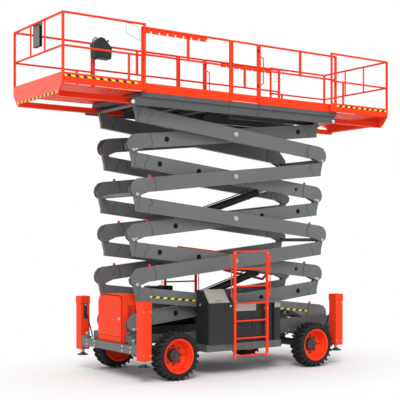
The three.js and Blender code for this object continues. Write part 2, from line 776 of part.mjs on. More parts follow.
// ---- Ladders ----
const ladderRail = (side) => {
  const x = LADDER_X + side * LADDER_HALF;
  const gx = x + side * 72;
  return [
    box(x - 24, x + 24, LADDER_Y - 15, LADDER_Y + 15, 300, 2212),
    bar([gx, LADDER_Y, 1400], [gx, LADDER_Y, 2140], 10, 6, 6),
    bar([x, LADDER_Y, 1360], [gx, LADDER_Y, 1400], 10, 6, 4),
    bar([x, LADDER_Y, 2190], [gx, LADDER_Y, 2140], 10, 6, 4),
    box(x - 20, x + 20, STEP_Y + SEAT, LADDER_Y, 1150, 1190),
  ];
};
const rungs = [...Array(RUNGS).keys()].map((i) =>
  bar(
    [LADDER_X - LADDER_HALF, LADDER_Y, RUNG_Z + i * RUNG_PITCH],
    [LADDER_X + LADDER_HALF, LADDER_Y, RUNG_Z + i * RUNG_PITCH],
    15,
    8,
  ),
);
const ladder = join(ladderRail(-1), ladderRail(1), rungs);
add("far_ladder", ladder, "orange");
add("near_ladder", mirror(ladder), "orange");

// ---- Platform frame ----
const beamOutline = [
  [MAIN_X0 - 170, DECK_Z - 224],
  [MAIN_X1 - 95, DECK_Z - 224],
  [MAIN_X1, DECK_Z - 85],
  [MAIN_X1, DECK_Z - 12 - SEAT],
  [MAIN_X0, DECK_Z - 12 - SEAT],
  [MAIN_X0 - 30, DECK_Z - 70],
  [MAIN_X0 - 170, DECK_Z - 130],
];
const lugOutline = [
  [LEFT_X - BOSS_R, DECK_Z - 80],
  ...arc(LEFT_X, TOP_PIN_Z, BOSS_R, 180, 360, 6),
  [LEFT_X + BOSS_R, DECK_Z - 80],
];
const SLIDE = { x0: 40, x1: MAIN_X1 - 38, y0: 366, y1: 434 };
const platformSide = join(
  plateXZ(beamOutline, BEAM_Y, 838),
  box(MAIN_X0, MAIN_X1, 830, DECK_Y, DECK_Z - 80, DECK_Z - 12 - SEAT),
  plateXZ(lugOutline, 654, 674),
  plateXZ(lugOutline, 566, 586),
  box(SLIDE.x0, SLIDE.x1, SLIDE.y0, 382, DECK_Z - 235, DECK_Z - 85),
  box(SLIDE.x0, SLIDE.x1, SLIDE.y0, SLIDE.y1, DECK_Z - 235, TOP_PIN_Z - ROLLER_R - 1),
  box(SLIDE.x0, SLIDE.x1, SLIDE.y0, SLIDE.y1, TOP_PIN_Z + ROLLER_R + SEAT, TOP_PIN_Z + 60),
);
const deckCross = (x0, x1) => box(x0, x1, -832, 832, DECK_Z - 90, DECK_Z - 12 - SEAT);
add(
  "platform_frame",
  cut(
    join(
      both(platformSide),
      deckCross(LEFT_X - 60, LEFT_X + 60),
      [-1500, -900, -300, 300, 900, 1500].map((x) => deckCross(x - 30, x + 30)),
      deckCross(MAIN_X1 - 90, MAIN_X1 - 10),
    ),
    both(rodY(LEFT_X, TOP_PIN_Z, PIN_R + PIN_GAP, 550, 690)),
  ),
  "grey",
);
add("deck_floor", box(MAIN_X0 + 4, MAIN_X1 - 4, -866, 866, DECK_Z - 12, DECK_Z), "grey", 0.7);

// ---- Main guardrails, which leave a gate on each side ----
const post = (x, z0, z1, y = DECK_Y, half = 19) =>
  box(x - half, x + half, y - half, y + half, z0, z1);
const rail = (x0, x1, z, y, r) => bar([x0, y, z], [x1, y, z], r, 8);
const FLOOR = DECK_Z + SEAT;
const ENDS = [MAIN_X0 + 22, MAIN_X1 - 22];
const gateLeft = GATE.x0 - 26;
const gateRight = GATE.x1 + 26;
function guardRun(x0, x1, between) {
  return [
    rail(x0, x1, RAIL_TOP, DECK_Y, RAIL_R),
    rail(x0, x1, RAIL_MID, DECK_Y, RAIL_R - 2),
    post(x0, FLOOR, RAIL_TOP + 8),
    post(x1, FLOOR, RAIL_TOP + 8),
    post(between, RAIL_MID, RAIL_TOP),
    box(x0, x1, DECK_Y - 4, DECK_Y, FLOOR, TOE),
  ];
}
// The latch plate under the top rail: one notch for each locked position of a deck.
function latchPlate(x0, x1, teeth) {
  const pitch = (x1 - x0) / teeth;
  const top = RAIL_TOP - 10;
  const deep = RAIL_TOP - 92;
  const low = [...Array(teeth).keys()].flatMap((i) => {
    const x = x0 + i * pitch;
    return [
      [x, deep],
      [x + pitch - 34, deep],
      [x + pitch - 34, deep + 42],
      [x + pitch, deep + 42],
    ];
  });
  return plateXZ([...low, [x1, top], [x0, top]], DECK_Y - 5, DECK_Y + 5);
}
const grab = (x) => [
  bar([x, DECK_Y, DECK_Z + 900], [x + 95, DECK_Y, DECK_Z + 860], 11, 6, 4),
  bar([x + 95, DECK_Y, DECK_Z + 860], [x + 95, DECK_Y, DECK_Z + 400], 11, 6, 4),
  bar([x + 95, DECK_Y, DECK_Z + 400], [x, DECK_Y, DECK_Z + 340], 11, 6, 4),
];
const guard = [
  ...guardRun(ENDS[0], gateLeft, -1205),
  ...guardRun(gateRight, ENDS[1], 1395),
  box(ENDS[0], ENDS[1], DECK_Y - 9, DECK_Y, FLOOR, FLOOR + 10),
  ...grab(gateRight),
];
add("far_guardrail", join(guard, latchPlate(MAIN_X1 - 1558, MAIN_X1 - 228, 8)), "orange");
add("near_guardrail", mirror(join(guard, latchPlate(MAIN_X0 + 45, MAIN_X0 + 1375, 8))), "orange");

// ---- Side gates ----
const gateBody = join(
  rail(GATE.x0 + 16, GATE.x1 - 16, RAIL_TOP, DECK_Y, RAIL_R - 1),
  rail(GATE.x0 + 16, GATE.x1 - 16, RAIL_MID, DECK_Y, RAIL_R - 1),
  post(GATE.x0 + 16, DECK_Z + 16, RAIL_TOP + 6, DECK_Y, 16),
  post(GATE.x1 - 16, DECK_Z + 16, RAIL_TOP + 6, DECK_Y, 16),
  box(GATE.x0 + 16, GATE.x1 - 16, DECK_Y - 4, DECK_Y, DECK_Z + 16, TOE),
  ...[DECK_Z + 300, DECK_Z + 950].map((z) =>
    box(GATE.x1 - 10, gateRight - 19 - SEAT, DECK_Y - 16, DECK_Y + 16, z, z + 70),
  ),
);
add("far_gate", gateBody, "orange");
add("near_gate", mirror(gateBody), "orange");

// ---- Roll-out extension decks ----
const EXT_IN = REACH - 6 - SEAT; // end of an extension's floor
const EXT_RUN = -MAIN_X0 - 575; // inner end of its channels
const EXT_SIDE_END = -MAIN_X0 - 40; // inner end of its rails
const wing = [893, EXT_Y - 3 - SEAT];
const extensionDeck = join(
  box(-EXT_IN, MAIN_X0 + 215, -835, 835, DECK_Z + 6, DECK_Z + 12),
  both(box(-EXT_IN, -EXT_SIDE_END, ...wing, DECK_Z + 6, DECK_Z + 12)),
  box(-EXT_IN, -EXT_IN + 44, -wing[1], wing[1], DECK_Z - 20, DECK_Z + 10),
  box(-EXT_IN, -EXT_IN + 60, -785, 785, DECK_Z - 140, DECK_Z + 8),
  both(
    cut(
      box(-EXT_IN, -EXT_RUN, 705, 785, DECK_Z - 194, DECK_Z - 100),
      box(-EXT_IN + 40, -EXT_RUN - 40, 713, 800, DECK_Z - 186, DECK_Z - 108),
    ),
  ),
  both(box(-EXT_RUN - 38, -EXT_RUN, 784, BEAM_Y - SEAT, DECK_Z - 180, DECK_Z - 114)),
);
const toePoints = [
  [EXT_Y + 3, EXT_TOE],
  [-EXT_Y - 3, EXT_TOE],
  [-EXT_Y - 3, DECK_Z + 12],
  [-812, DECK_Z - 154],
  [812, DECK_Z - 154],
  [EXT_Y + 3, DECK_Z + 12],
];
const extRail = (z, r) => [
  ...both(rail(-REACH + 22, -EXT_SIDE_END, z, EXT_Y, r)),
  bar([-REACH + 22, -EXT_Y, z], [-REACH + 22, EXT_Y, z], r, 8),
];
const extensionGuard = join(
  plateYZ(toePoints, -REACH, -REACH + 6),
  both(box(-REACH + 1, -EXT_SIDE_END, EXT_Y - 3, EXT_Y + 3, DECK_Z + 6, EXT_TOE)),
  extRail(EXT_TOP, RAIL_R),
  extRail(EXT_MID, RAIL_R - 2),
  both(post(-REACH + 22, DECK_Z + 60, EXT_TOP + 8, EXT_Y, 18)),
  both(post(-EXT_SIDE_END - 20, DECK_Z + 20, EXT_TOP, EXT_Y, 16)),
  both(post(MAIN_X0 - 290, EXT_TOE - 20, EXT_MID, EXT_Y, 15)),
  both(rodZ(-REACH + 22, 274, 16, EXT_MID, EXT_TOP, 8)),
);
const mirrorX = (body) => body.mirror([1, 0, 0]);
add("front_extension_deck", extensionDeck, "orange");
add("front_extension_guardrail", extensionGuard, "orange");
add("rear_extension_deck", mirrorX(extensionDeck), "orange");
add("rear_extension_guardrail", mirrorX(extensionGuard), "orange");

// ---- Platform controls and papers ----
const boxFace = DECK_Y - 19 - SEAT;
const controls = [
  [MAIN_X0 - 70, DECK_Z + 840],
  [MAIN_X0 + 270, DECK_Z + 822],
  [MAIN_X0 + 287, DECK_Z + 1025],
  [MAIN_X0 + 115, DECK_Z + 1200],
  [MAIN_X0 + 45, DECK_Z + 1208],
  [MAIN_X0 - 85, DECK_Z + 1080],
];
add(
  "control_box",
  join(
    plateXZ(controls, 640, 815),
    box(MAIN_X0 + 45, MAIN_X0 + 235, 810, DECK_Y - RAIL_R - SEAT, RAIL_TOP - 30, RAIL_TOP + 4),
  ),
  "dark",
);
const manualX = -REACH + 42 + SEAT;
add("manual_box", box(manualX, manualX + 62, -14, 224, DECK_Z + 750, DECK_Z + 1150), "grey", 0.5);

export default root;
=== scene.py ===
import json
import math

import bmesh
import bpy
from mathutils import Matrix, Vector


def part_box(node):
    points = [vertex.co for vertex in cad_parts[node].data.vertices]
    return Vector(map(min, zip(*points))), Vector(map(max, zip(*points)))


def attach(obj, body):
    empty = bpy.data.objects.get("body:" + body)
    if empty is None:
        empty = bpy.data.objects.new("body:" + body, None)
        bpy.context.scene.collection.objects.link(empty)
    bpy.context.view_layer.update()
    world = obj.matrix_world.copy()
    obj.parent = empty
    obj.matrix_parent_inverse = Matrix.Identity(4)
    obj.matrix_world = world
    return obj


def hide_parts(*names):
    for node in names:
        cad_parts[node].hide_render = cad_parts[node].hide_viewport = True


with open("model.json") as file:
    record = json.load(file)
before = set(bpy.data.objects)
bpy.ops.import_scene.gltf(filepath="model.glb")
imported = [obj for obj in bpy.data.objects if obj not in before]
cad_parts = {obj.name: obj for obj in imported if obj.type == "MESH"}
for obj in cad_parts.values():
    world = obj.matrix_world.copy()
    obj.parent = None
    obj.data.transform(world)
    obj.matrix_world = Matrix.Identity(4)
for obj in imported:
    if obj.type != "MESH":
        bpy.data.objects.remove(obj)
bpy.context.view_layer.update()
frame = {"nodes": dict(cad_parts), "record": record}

scene = bpy.context.scene
NODES = frame["nodes"]
RECORD = frame["record"]
JOINTS = {joint["name"]: joint for joint in RECORD["behaviour"]["joints"]}
rad = math.radians


# ---------------------------------------------------------------- camera
camera_data = bpy.data.cameras.new("camera")
camera_data.lens = 83.77
camera_data.sensor_width = 36.0
camera_data.shift_y = 0.1045
camera_data.clip_end = 200.0
camera = bpy.data.objects.new("camera", camera_data)
camera.location = (-10.420, -14.399, 2.379)
camera.rotation_euler = (rad(90), 0.0, rad(-34.985))
scene.collection.objects.link(camera)
scene.camera = camera


# ---------------------------------------------------------------- finishes
def node(tree, kind, values=(), **settings):
    """A new node with its settings, and its inputs set to values or linked to sockets."""
    made = tree.nodes.new(kind)
    for name, value in settings.items():
        setattr(made, name, value)
    feed(tree, made, values)
    return made


def feed(tree, made, values):
    for key, value in dict(values).items():
        if isinstance(value, bpy.types.NodeSocket):
            tree.links.new(value, made.inputs[key])
        else:
            made.inputs[key].default_value = value


def principled(name):
    """A new material with its node tree and Principled shader."""
    material = bpy.data.materials.new(name)
    material.use_nodes = True
    tree = material.node_tree
    return material, tree, next(n for n in tree.nodes if n.type == "BSDF_PRINCIPLED")


def noise(tree, scale, detail=3.0, rough=0.55, stretch=None):
    """A noise on Object coordinates, stretched along an axis where asked."""
    source = node(tree, "ShaderNodeTexCoord").outputs["Object"]
    if stretch:
        mapped = node(tree, "ShaderNodeMapping", {"Scale": stretch, "Vector": source})
        source = mapped.outputs["Vector"]
    values = {"Scale": scale, "Detail": detail, "Roughness": rough, "Vector": source}
    return node(tree, "ShaderNodeTexNoise", values).outputs["Fac"]


def spread(tree, value, from_low, from_high, low, high):
    """Maps a value from one range to another, clamped."""
    names = ("Value", "From Min", "From Max", "To Min", "To Max")
    values = zip(names, (value, from_low, from_high, low, high))
    return node(tree, "ShaderNodeMapRange", values).outputs["Result"]


def sum_of(tree, kind, *values):
    """A Math node on sockets or numbers."""
    return node(tree, "ShaderNodeMath", enumerate(values), operation=kind).outputs[0]


def blend_colour(tree, share, first, second):
    """Mixes two colours or colour sockets by a share."""
    values = {0: share}
    for socket, value in ((6, first), (7, second)):
        values[socket] = value if isinstance(value, bpy.types.NodeSocket) else (*value, 1.0)
    return node(tree, "ShaderNodeMix", values, data_type="RGBA").outputs[2]


def bump(tree, shader, height, strength, distance):
    values = {"Strength": strength, "Distance": distance, "Height": height}
    feed(tree, shader, {"Normal": node(tree, "ShaderNodeBump", values).outputs["Normal"]})


def shade(colour, factor):
    return tuple(min(1.0, c * factor) for c in colour)


DUST = (0.30, 0.26, 0.21)


def coat(name, colour, gloss, tone=0.06, clear=0.0, metal=0.0, peel=0.035, dust=0.0, sheen=0.35):
    """Sprayed or powder coat: soft tone change, uneven gloss, orange peel and low dust."""
    material, tree, shader = principled(name)
    cloud = spread(tree, noise(tree, 1.3, 4.0), 0.32, 0.68, 0.0, 1.0)
    base = blend_colour(tree, cloud, shade(colour, 1.0 - tone), shade(colour, 1.0 + tone))
    fleck = spread(tree, noise(tree, 46.0), 0.60, 0.78, 0.0, 0.3)
    base = blend_colour(tree, fleck, base, shade(colour, 0.88))
    if dust:
        place = node(tree, "ShaderNodeTexCoord")
        axes = node(tree, "ShaderNodeSeparateXYZ", {0: place.outputs["Object"]})
        low = spread(tree, axes.outputs["Z"], 0.0, 0.9, 1.0, 0.0)
        patch = spread(tree, noise(tree, 6.0, 5.0), 0.35, 0.75, 0.0, dust)
        base = blend_colour(tree, sum_of(tree, "MULTIPLY", low, patch), base, DUST)
    uneven = spread(tree, noise(tree, 5.0, 4.0), 0.3, 0.7, gloss - 0.05, gloss + 0.07)
    feed(
        tree, shader,
        {
            "Base Color": base,
            "Roughness": uneven,
            "Metallic": metal,
            "Specular IOR Level": sheen,
            "Coat Weight": clear,
            "Coat Roughness": 0.15,
        },
    )
    bump(tree, shader, noise(tree, 210.0, 2.0), peel, 0.002)
    return material


def bare_metal(name, colour, gloss, streak):
    """Ground or plated steel, its fine marks run along one axis."""
    material, tree, shader = principled(name)
    marks = noise(tree, 60.0, 4.0, 0.6, streak)
    base = blend_colour(tree, marks, shade(colour, 0.86), shade(colour, 1.1))
    uneven = spread(tree, marks, 0.3, 0.7, gloss - 0.06, gloss + 0.08)
    feed(tree, shader, {"Base Color": base, "Roughness": uneven, "Metallic": 1.0})
    bump(tree, shader, marks, 0.05, 0.001)
    return material


def rubber(name, colour):
    """Matt moulded rubber with dust in its hollows."""
    material, tree, shader = principled(name)
    grime = spread(tree, noise(tree, 9.0, 6.0, 0.7), 0.52, 0.8, 0.0, 0.22)
    base = blend_colour(tree, grime, colour, shade(DUST, 0.4))
    feed(tree, shader, {"Base Color": base, "Roughness": 0.72, "Specular IOR Level": 0.3})
    bump(tree, shader, noise(tree, 120.0, 5.0), 0.25, 0.002)
    return material


def hazard_tape(name, pitch):
    """Slanted black and yellow cells along the strip's own length."""
    material, tree, shader = principled(name)
    where = node(tree, "ShaderNodeUVMap", uv_map="length")
    axes = node(tree, "ShaderNodeSeparateXYZ", {0: where.outputs[0]})
    slant = sum_of(tree, "MULTIPLY", axes.outputs["Y"], 0.6)
    run = sum_of(tree, "ADD", axes.outputs["X"], slant)
    cell = sum_of(tree, "FRACT", sum_of(tree, "DIVIDE", run, pitch))
    dark = sum_of(tree, "GREATER_THAN", cell, 0.5)
    worn = spread(tree, noise(tree, 30.0), 0.4, 0.8, 0.0, 0.25)
    yellow = blend_colour(tree, worn, (0.88, 0.72, 0.02), (0.70, 0.56, 0.03))
    base = blend_colour(tree, dark, yellow, (0.012, 0.012, 0.016))
    feed(tree, shader, {"Base Color": base, "Roughness": 0.42})
    bump(tree, shader, noise(tree, 90.0), 0.04, 0.001)
    return material


ORANGE = coat("orange_powder_coat", (0.92, 0.050, 0.010), 0.44, 0.04, sheen=0.15)
# a lighter orange for the extension guardrails' end faces: painted light, where the key light falls
# on them
LIT_END_ORANGE = coat("end_face_painted_light_orange", (0.92, 0.145, 0.100), 0.46, 0.03, sheen=0.25)
GREY = coat("grey_arm_paint", (0.136, 0.140, 0.144), 0.42, 0.05, 0.08)
DECK_GREY = coat("deck_frame_grey_paint", (0.086, 0.089, 0.092), 0.42, 0.06, 0.08)
CHASSIS = coat("chassis_grey_paint", (0.085, 0.088, 0.092), 0.46, 0.1, 0.1, dust=0.3)
DARK = coat("dark_axle_paint", (0.030, 0.031, 0.032), 0.50, 0.15, dust=0.4)
BLACK = coat("black_box_paint", (0.016, 0.016, 0.017), 0.36, 0.12, 0.12, dust=0.08, sheen=0.25)
SILVER = coat("silver_lid_paint", (0.36, 0.34, 0.31), 0.32, 0.05, 0.2, metal=0.35)
RED = coat("red_gloss_paint", (0.80, 0.030, 0.012), 0.34, 0.06, 0.2)
FLOOR_COAT = coat("deck_floor_coat", (0.10, 0.10, 0.105), 0.6, 0.1, peel=0.3)
# near-black paint: painted shade along plate edges, in gaps, round the cabinet door, in louvre
# openings and pin bores; also the real black of hinges and hose clips
PAINTED_SHADE_AND_BLACK = coat("painted_shade_and_black_part_paint", (0.010, 0.010, 0.011), 0.65, 0.1, sheen=0.08)
PALE = coat("pale_plate_paint", (0.62, 0.63, 0.64), 0.4, 0.04)
PLASTIC = coat("moulded_black_plastic", (0.022, 0.022, 0.024), 0.5, 0.1, peel=0.15)
TYRE = rubber("tyre_rubber", (0.016, 0.016, 0.017))
HOSE = rubber("hydraulic_hose_rubber", (0.012, 0.012, 0.013))
ROLLER = coat("white_roller_plastic", (0.70, 0.69, 0.66), 0.35, 0.03)
CHROME = bare_metal("ground_rod_chrome", (0.72, 0.73, 0.75), 0.16, (1.0, 1.0, 0.05))
ZINC = bare_metal("zinc_plated_steel", (0.50, 0.50, 0.50), 0.36, (1.0, 1.0, 1.0))
TAPE = hazard_tape("hazard_tape_film", 0.148)

PAINT_OF = {
    "orange_paint": ORANGE,
    "grey_paint": GREY,
    "dark_paint": DARK,
    "black_paint": BLACK,
    "tyre": TYRE,
    "chrome_rod": ZINC,
    "lid_paint": SILVER,
    "red_paint": RED,
}
SLOT_OF = {paint.name: slot for slot, paint in PAINT_OF.items()}
SLOT_OF.update(
    {
        CHROME.name: "chrome_rod",
        CHASSIS.name: "grey_paint",
        PAINTED_SHADE_AND_BLACK.name: "grey_paint",
        HOSE.name: "tyre",
        PLASTIC.name: "dark_paint",
        PALE.name: "lid_paint",
        ROLLER.name: "lid_paint",
        FLOOR_COAT.name: "grey_paint",
        LIT_END_ORANGE.name: "orange_paint",
        TAPE.name: "dark_paint",
    }
)


# ---------------------------------------------------------------- how pieces are made
def turns(sides):
    return [2 * math.pi * i / sides for i in range(sides)]


def square_to(direction):
    """Two unit directions square to one another and to the one given."""
    direction = Vector(direction).normalized()
    side = direction.cross((0, 0, 1) if abs(direction.z) < 0.9 else (0, 1, 0)).normalized()
    return side, direction.cross(side)


def bent(points, steps=6):
    """A smooth run of points through the given ones."""
    points = [Vector(p) for p in points]
    path = [points[0] * 2 - points[1], *points, points[-1] * 2 - points[-2]]
    run = []
    for a, b, c, d in zip(path, path[1:], path[2:], path[3:]):
        for i in range(steps):
            t = i / steps
            run.append(
                0.5 * (
                    2 * b + (c - a) * t + (
                        2 * a - 5 * b + 4 * c - d
                    ) * t * t + (3 * b - a - 3 * c + d) * t**3
                )
            )
    return run + [points[-1]]


class Shape:
    """Closed solids gathered in one mesh, which becomes one finished piece."""

    def __init__(self):
        self.mesh = bmesh.new()
        self.length = self.mesh.loops.layers.uv.new("length")

    def skin(self, rings, paint=0, loop=False):
        """Faces between rings of points, with flat ends unless the rings close on themselves."""
        rows = [[self.mesh.verts.new(point) for point in ring] for ring in rings]
        count = len(rows[0])
        pairs = list(zip(rows, rows[1:])) + ([(rows[-1], rows[0])] if loop else [])
        faces = [
            self.mesh.faces.new((a[i], a[(i + 1) % count], b[(i + 1) % count], b[i]))
            for a, b in pairs
            for i in range(count)
        ]
        if not loop:
            faces += [self.mesh.faces.new(rows[0][::-1]), self.mesh.faces.new(rows[-1])]
        for face in faces:
            face.material_index = paint
        return faces

    def block(self, low, high, paint=0):
        """A box between two corners, given in either order across the machine."""
        (x0, y0, z0), (x1, y1, z1) = low, high
        y0, y1 = min(y0, y1), max(y0, y1)
        ring = ((x0, y0), (x1, y0), (x1, y1), (x0, y1))
        self.skin([[(x, y, z) for x, y in ring] for z in (z0, z1)], paint)

    def side_block(self, side, x, y, z, paint=0):
        """A box given by its spans, its y measured outward on one side of the machine."""
        self.block((x[0], y[0] * side, z[0]), (x[1], y[1] * side, z[1]), paint)

    def plate(self, outline, offset, paint=0):
        """A flat outline given a thickness."""
        outline = [Vector(point) for point in outline]
        self.skin([outline, [point + Vector(offset) for point in outline]], paint)

    def turned(self, base, axis, outline, sides=32, paint=0, loop=False):
        """An outline of (distance along the axis, radius) turned round the axis."""
        axis = Vector(axis).normalized()
        one, two = square_to(axis)
        rings = [
            [
                Vector(base) + axis * along + (one * math.cos(a) + two * math.sin(a)) * radius
                for a in turns(sides)
            ]
            for along, radius in outline
        ]
        self.skin(rings, paint, loop)

    def rod(self, start, end, radius, sides=20, paint=0):
        run = Vector(end) - Vector(start)
        self.turned(start, run, [(0, radius), (run.length, radius)], sides, paint)

    def pipe(self, points, radius, sides=8, paint=0):
        """A round bar or hose along a run of points."""
        points = [Vector(point) for point in points]
        rings, one = [], None
        for i, point in enumerate(points):
            ahead = points[min(i + 1, len(points) - 1)] - points[max(i - 1, 0)]
            ahead.normalize()
            one = square_to(ahead)[0] if one is None else (
                one - ahead * one.dot(ahead)
            ).normalized()
            two = ahead.cross(one)
            rings.append(
                [point + (one * math.cos(a) + two * math.sin(a)) * radius for a in turns(sides)]
            )
        self.skin(rings, paint)

    def hose(self, points, radius, sides=10, paint=0):
        """A round bar or hose bent smoothly through a few points."""
        self.pipe(bent(points), radius, sides, paint)

    def strip(self, start, end, up, height, proud, paint=0):
        """A thin strip on a face, with its length and height as its own UV."""
        start, end, up, proud = Vector(start), Vector(end), Vector(up), Vector(proud)
        run = end - start
        lift = up.normalized() * height
        low = [start, end, end + lift, start + lift]
        for face in self.skin([low, [point + proud for point in low]], paint):
            for loop in face.loops:
                offset = loop.vert.co - start
                loop[self.length].uv = (offset.dot(run.normalized()), offset.dot(lift.normalized()))

    def make(self, name, body, paints, edge=0.0, smooth=34, replaces=()):
        """Finishes the piece, if it has any solids: paints, soft edges, and its body."""
        if not self.mesh.verts:
            self.mesh.free()
            return
        paints = paints if isinstance(paints, (list, tuple)) else [paints]
        finish_piece(name, self.plain(name), body, paints, edge, smooth, replaces)

    def plain(self, name):
        """The shape as a mesh, its faces outward."""
        bmesh.ops.recalc_face_normals(self.mesh, faces=self.mesh.faces)
        mesh = bpy.data.meshes.new(name)
        self.mesh.to_mesh(mesh)
        self.mesh.free()
        return mesh


def bevel(shown, width, angle):
    """Rounds the edges sharper than an angle."""
    edges = shown.modifiers.new("edges", "BEVEL")
    edges.width = width
    edges.segments = 2
    edges.limit_method = "ANGLE"
    edges.angle_limit = rad(angle)
    edges.harden_normals = True


def finish_piece(name, mesh, body, paints, edge=0.0, smooth=34, replaces=()):
    if len(mesh.materials) == 0:
        for paint in paints:
            mesh.materials.append(paint)
    mesh.polygons.foreach_set("use_smooth", [True] * len(mesh.polygons))
    mesh.set_sharp_from_angle(angle=rad(smooth))
    shown = bpy.data.objects.new(name, mesh)
    scene.collection.objects.link(shown)
    if edge:
        bevel(shown, edge, 40)
    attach(shown, body)
    if replaces:
        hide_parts(*replaces)


# ---------------------------------------------------------------- repeated shapes
def new_tree(name, inputs):
    """A Geometry Nodes tree with named inputs; gives the tree, its input node and identifiers."""
    tree = bpy.data.node_groups.new(name, "GeometryNodeTree")
    tree.interface.new_socket("Geometry", in_out="INPUT", socket_type="NodeSocketGeometry")
    ids = {}
    for label, kind in inputs:
        ids[label] = tree.interface.new_socket(label, in_out="INPUT", socket_type=kind).identifier
    tree.interface.new_socket("Geometry", in_out="OUTPUT", socket_type="NodeSocketGeometry")
    return tree, tree.nodes.new("NodeGroupInput"), ids


def close_tree(tree, given, values):
    """Ends a tree in Instance on Points, Realize Instances and Set Material."""
    place = node(tree, "GeometryNodeInstanceOnPoints", values)
    real = node(tree, "GeometryNodeRealizeInstances", {"Geometry": place.outputs["Instances"]})
    values = {"Geometry": real.outputs["Geometry"], "Material": given.outputs["Paint"]}
    paint = node(tree, "GeometryNodeSetMaterial", values)
    node(tree, "NodeGroupOutput", {"Geometry": paint.outputs["Geometry"]})


def ring_tree():
    """Copies of the object's own mesh, spaced evenly round an axis along Y."""
    sockets = (
        ("Count", "NodeSocketInt"), ("Centre", "NodeSocketVector"), ("Paint", "NodeSocketMaterial")
    )
    tree, given, ids = new_tree("ring_of_copies", sockets)
    count = given.outputs["Count"]
    values = {"Count": count, "Position": given.outputs["Centre"]}
    points = node(tree, "GeometryNodePoints", values)
    share = sum_of(tree, "DIVIDE", node(tree, "GeometryNodeInputIndex").outputs[0], count)
    angle = sum_of(tree, "MULTIPLY", share, 2 * math.pi)
    euler = node(tree, "ShaderNodeCombineXYZ", {"Y": angle})
    turn = node(tree, "FunctionNodeEulerToRotation", {0: euler.outputs[0]})
    values = {
        "Points": points.outputs[0],
        "Instance": given.outputs["Geometry"],
        "Rotation": turn.outputs[0],
    }
    close_tree(tree, given, values)
    return tree, ids


def points_tree():
    """A pattern set on each point, its Z along "facing" and its X along "along"."""
    sockets = (("Pattern", "NodeSocketObject"), ("Paint", "NodeSocketMaterial"))
    tree, given, ids = new_tree("copies_on_points", sockets)

    def named(label, kind):
        """A point attribute's socket."""
        values = {"Name": label}
        found = node(tree, "GeometryNodeInputNamedAttribute", values, data_type=kind)
        return found.outputs["Attribute"]

    pattern = node(tree, "GeometryNodeObjectInfo", {"Object": given.outputs["Pattern"]})
    align = "FunctionNodeAlignRotationToVector"
    values = {"Vector": named("facing", "FLOAT_VECTOR")}
    up = node(tree, align, values, axis="Z", pivot_axis="AUTO")
    values = {"Vector": named("along", "FLOAT_VECTOR"), "Rotation": up.outputs[0]}
    turn = node(tree, align, values, axis="X", pivot_axis="Z")
    values = {
        "Points": given.outputs["Geometry"],
        "Instance": pattern.outputs["Geometry"],
        "Rotation": turn.outputs[0],
        "Scale": named("size", "FLOAT"),
    }
    close_tree(tree, given, values)
    return tree, ids


RING_TREE = ring_tree()
POINTS_TREE = points_tree()


def grown(source, tree_and_ids, values):
    """The plain mesh that a tree makes of an object, which is then removed."""
    tree, ids = tree_and_ids
    modifier = source.modifiers.new("copies", "NODES")
    modifier.node_group = tree
    for label, value in values.items():
        modifier[ids[label]] = value
    scene.collection.objects.link(source)
    depsgraph = bpy.context.evaluated_depsgraph_get()
    depsgraph.update()
    mesh = bpy.data.meshes.new_from_object(source.evaluated_get(depsgraph))
    source.modifiers.remove(modifier)
    bpy.data.objects.remove(source)
    return mesh


def ring_of(name, body, shape, count, centre, paint, smooth=34):
    """Copies of a shape round an axis along Y through a centre."""
    source = bpy.data.objects.new(name + "_source", shape.plain(name + "_source"))
    mesh = grown(source, RING_TREE, {"Count": count, "Centre": tuple(centre), "Paint": paint})
    mesh.name = name
    finish_piece(name, mesh, body, [paint], smooth=smooth)


def set_on_points(name, body, shape, places, paint, smooth=34):
    """A shape copied onto places given as (position, facing, along, size)."""
    pattern = bpy.data.objects.new(name + "_pattern", shape.plain(name + "_pattern"))
    scene.collection.objects.link(pattern)
    mesh = bpy.data.meshes.new(name + "_points")
    mesh.from_pydata([tuple(place[0]) for place in places], [], [])
    for label, column, kind in (("facing", 1, "FLOAT_VECTOR"), ("along", 2, "FLOAT_VECTOR")):
        flat = [number for place in places for number in place[column]]
        mesh.attributes.new(label, kind, "POINT").data.foreach_set("vector", flat)
    sizes = mesh.attributes.new("size", "FLOAT", "POINT")
    sizes.data.foreach_set("value", [place[3] for place in places])
    source = bpy.data.objects.new(name + "_points", mesh)
    made = grown(source, POINTS_TREE, {"Pattern": pattern, "Paint": paint})
    bpy.data.objects.remove(pattern)
    made.name = name
    finish_piece(name, made, body, [paint], smooth=smooth)


def hex_bolt():
    """A hexagon head on a washer, one unit of size being 10 mm across its corners' radius."""
    shape = Shape()
    shape.turned((0, 0, 0), (0, 0, 1), [(0, 0.0165), (0.0025, 0.0165), (0.003, 0.016)], 12)
    shape.turned((0, 0, 0.002), (0, 0, 1), [(0, 0.0105), (0.0065, 0.0105), (0.008, 0.0085)], 6)
    return shape


def heads(xs, y, zs, outward, size):
    """Bolt places in columns xs and rows zs on the face at y."""
    return [((x, y, z), outward, size) for x in xs for z in zs]


def bolts(name, body, places, paint):
    """Bolts on (position, facing) or (position, facing, size)."""
    rows = []
    for place in places:
        facing = Vector(place[1]).normalized()
        rows.append((place[0], facing, square_to(facing)[0], place[2] if len(place) > 2 else 1.0))
    set_on_points(name, body, hex_bolt(), rows, paint)


SIDES = (("far", 1), ("near", -1))


# ---------------------------------------------------------------- where the pins and arms are
def joint_at(name):
    return Vector(JOINTS[name]["pos_m"])


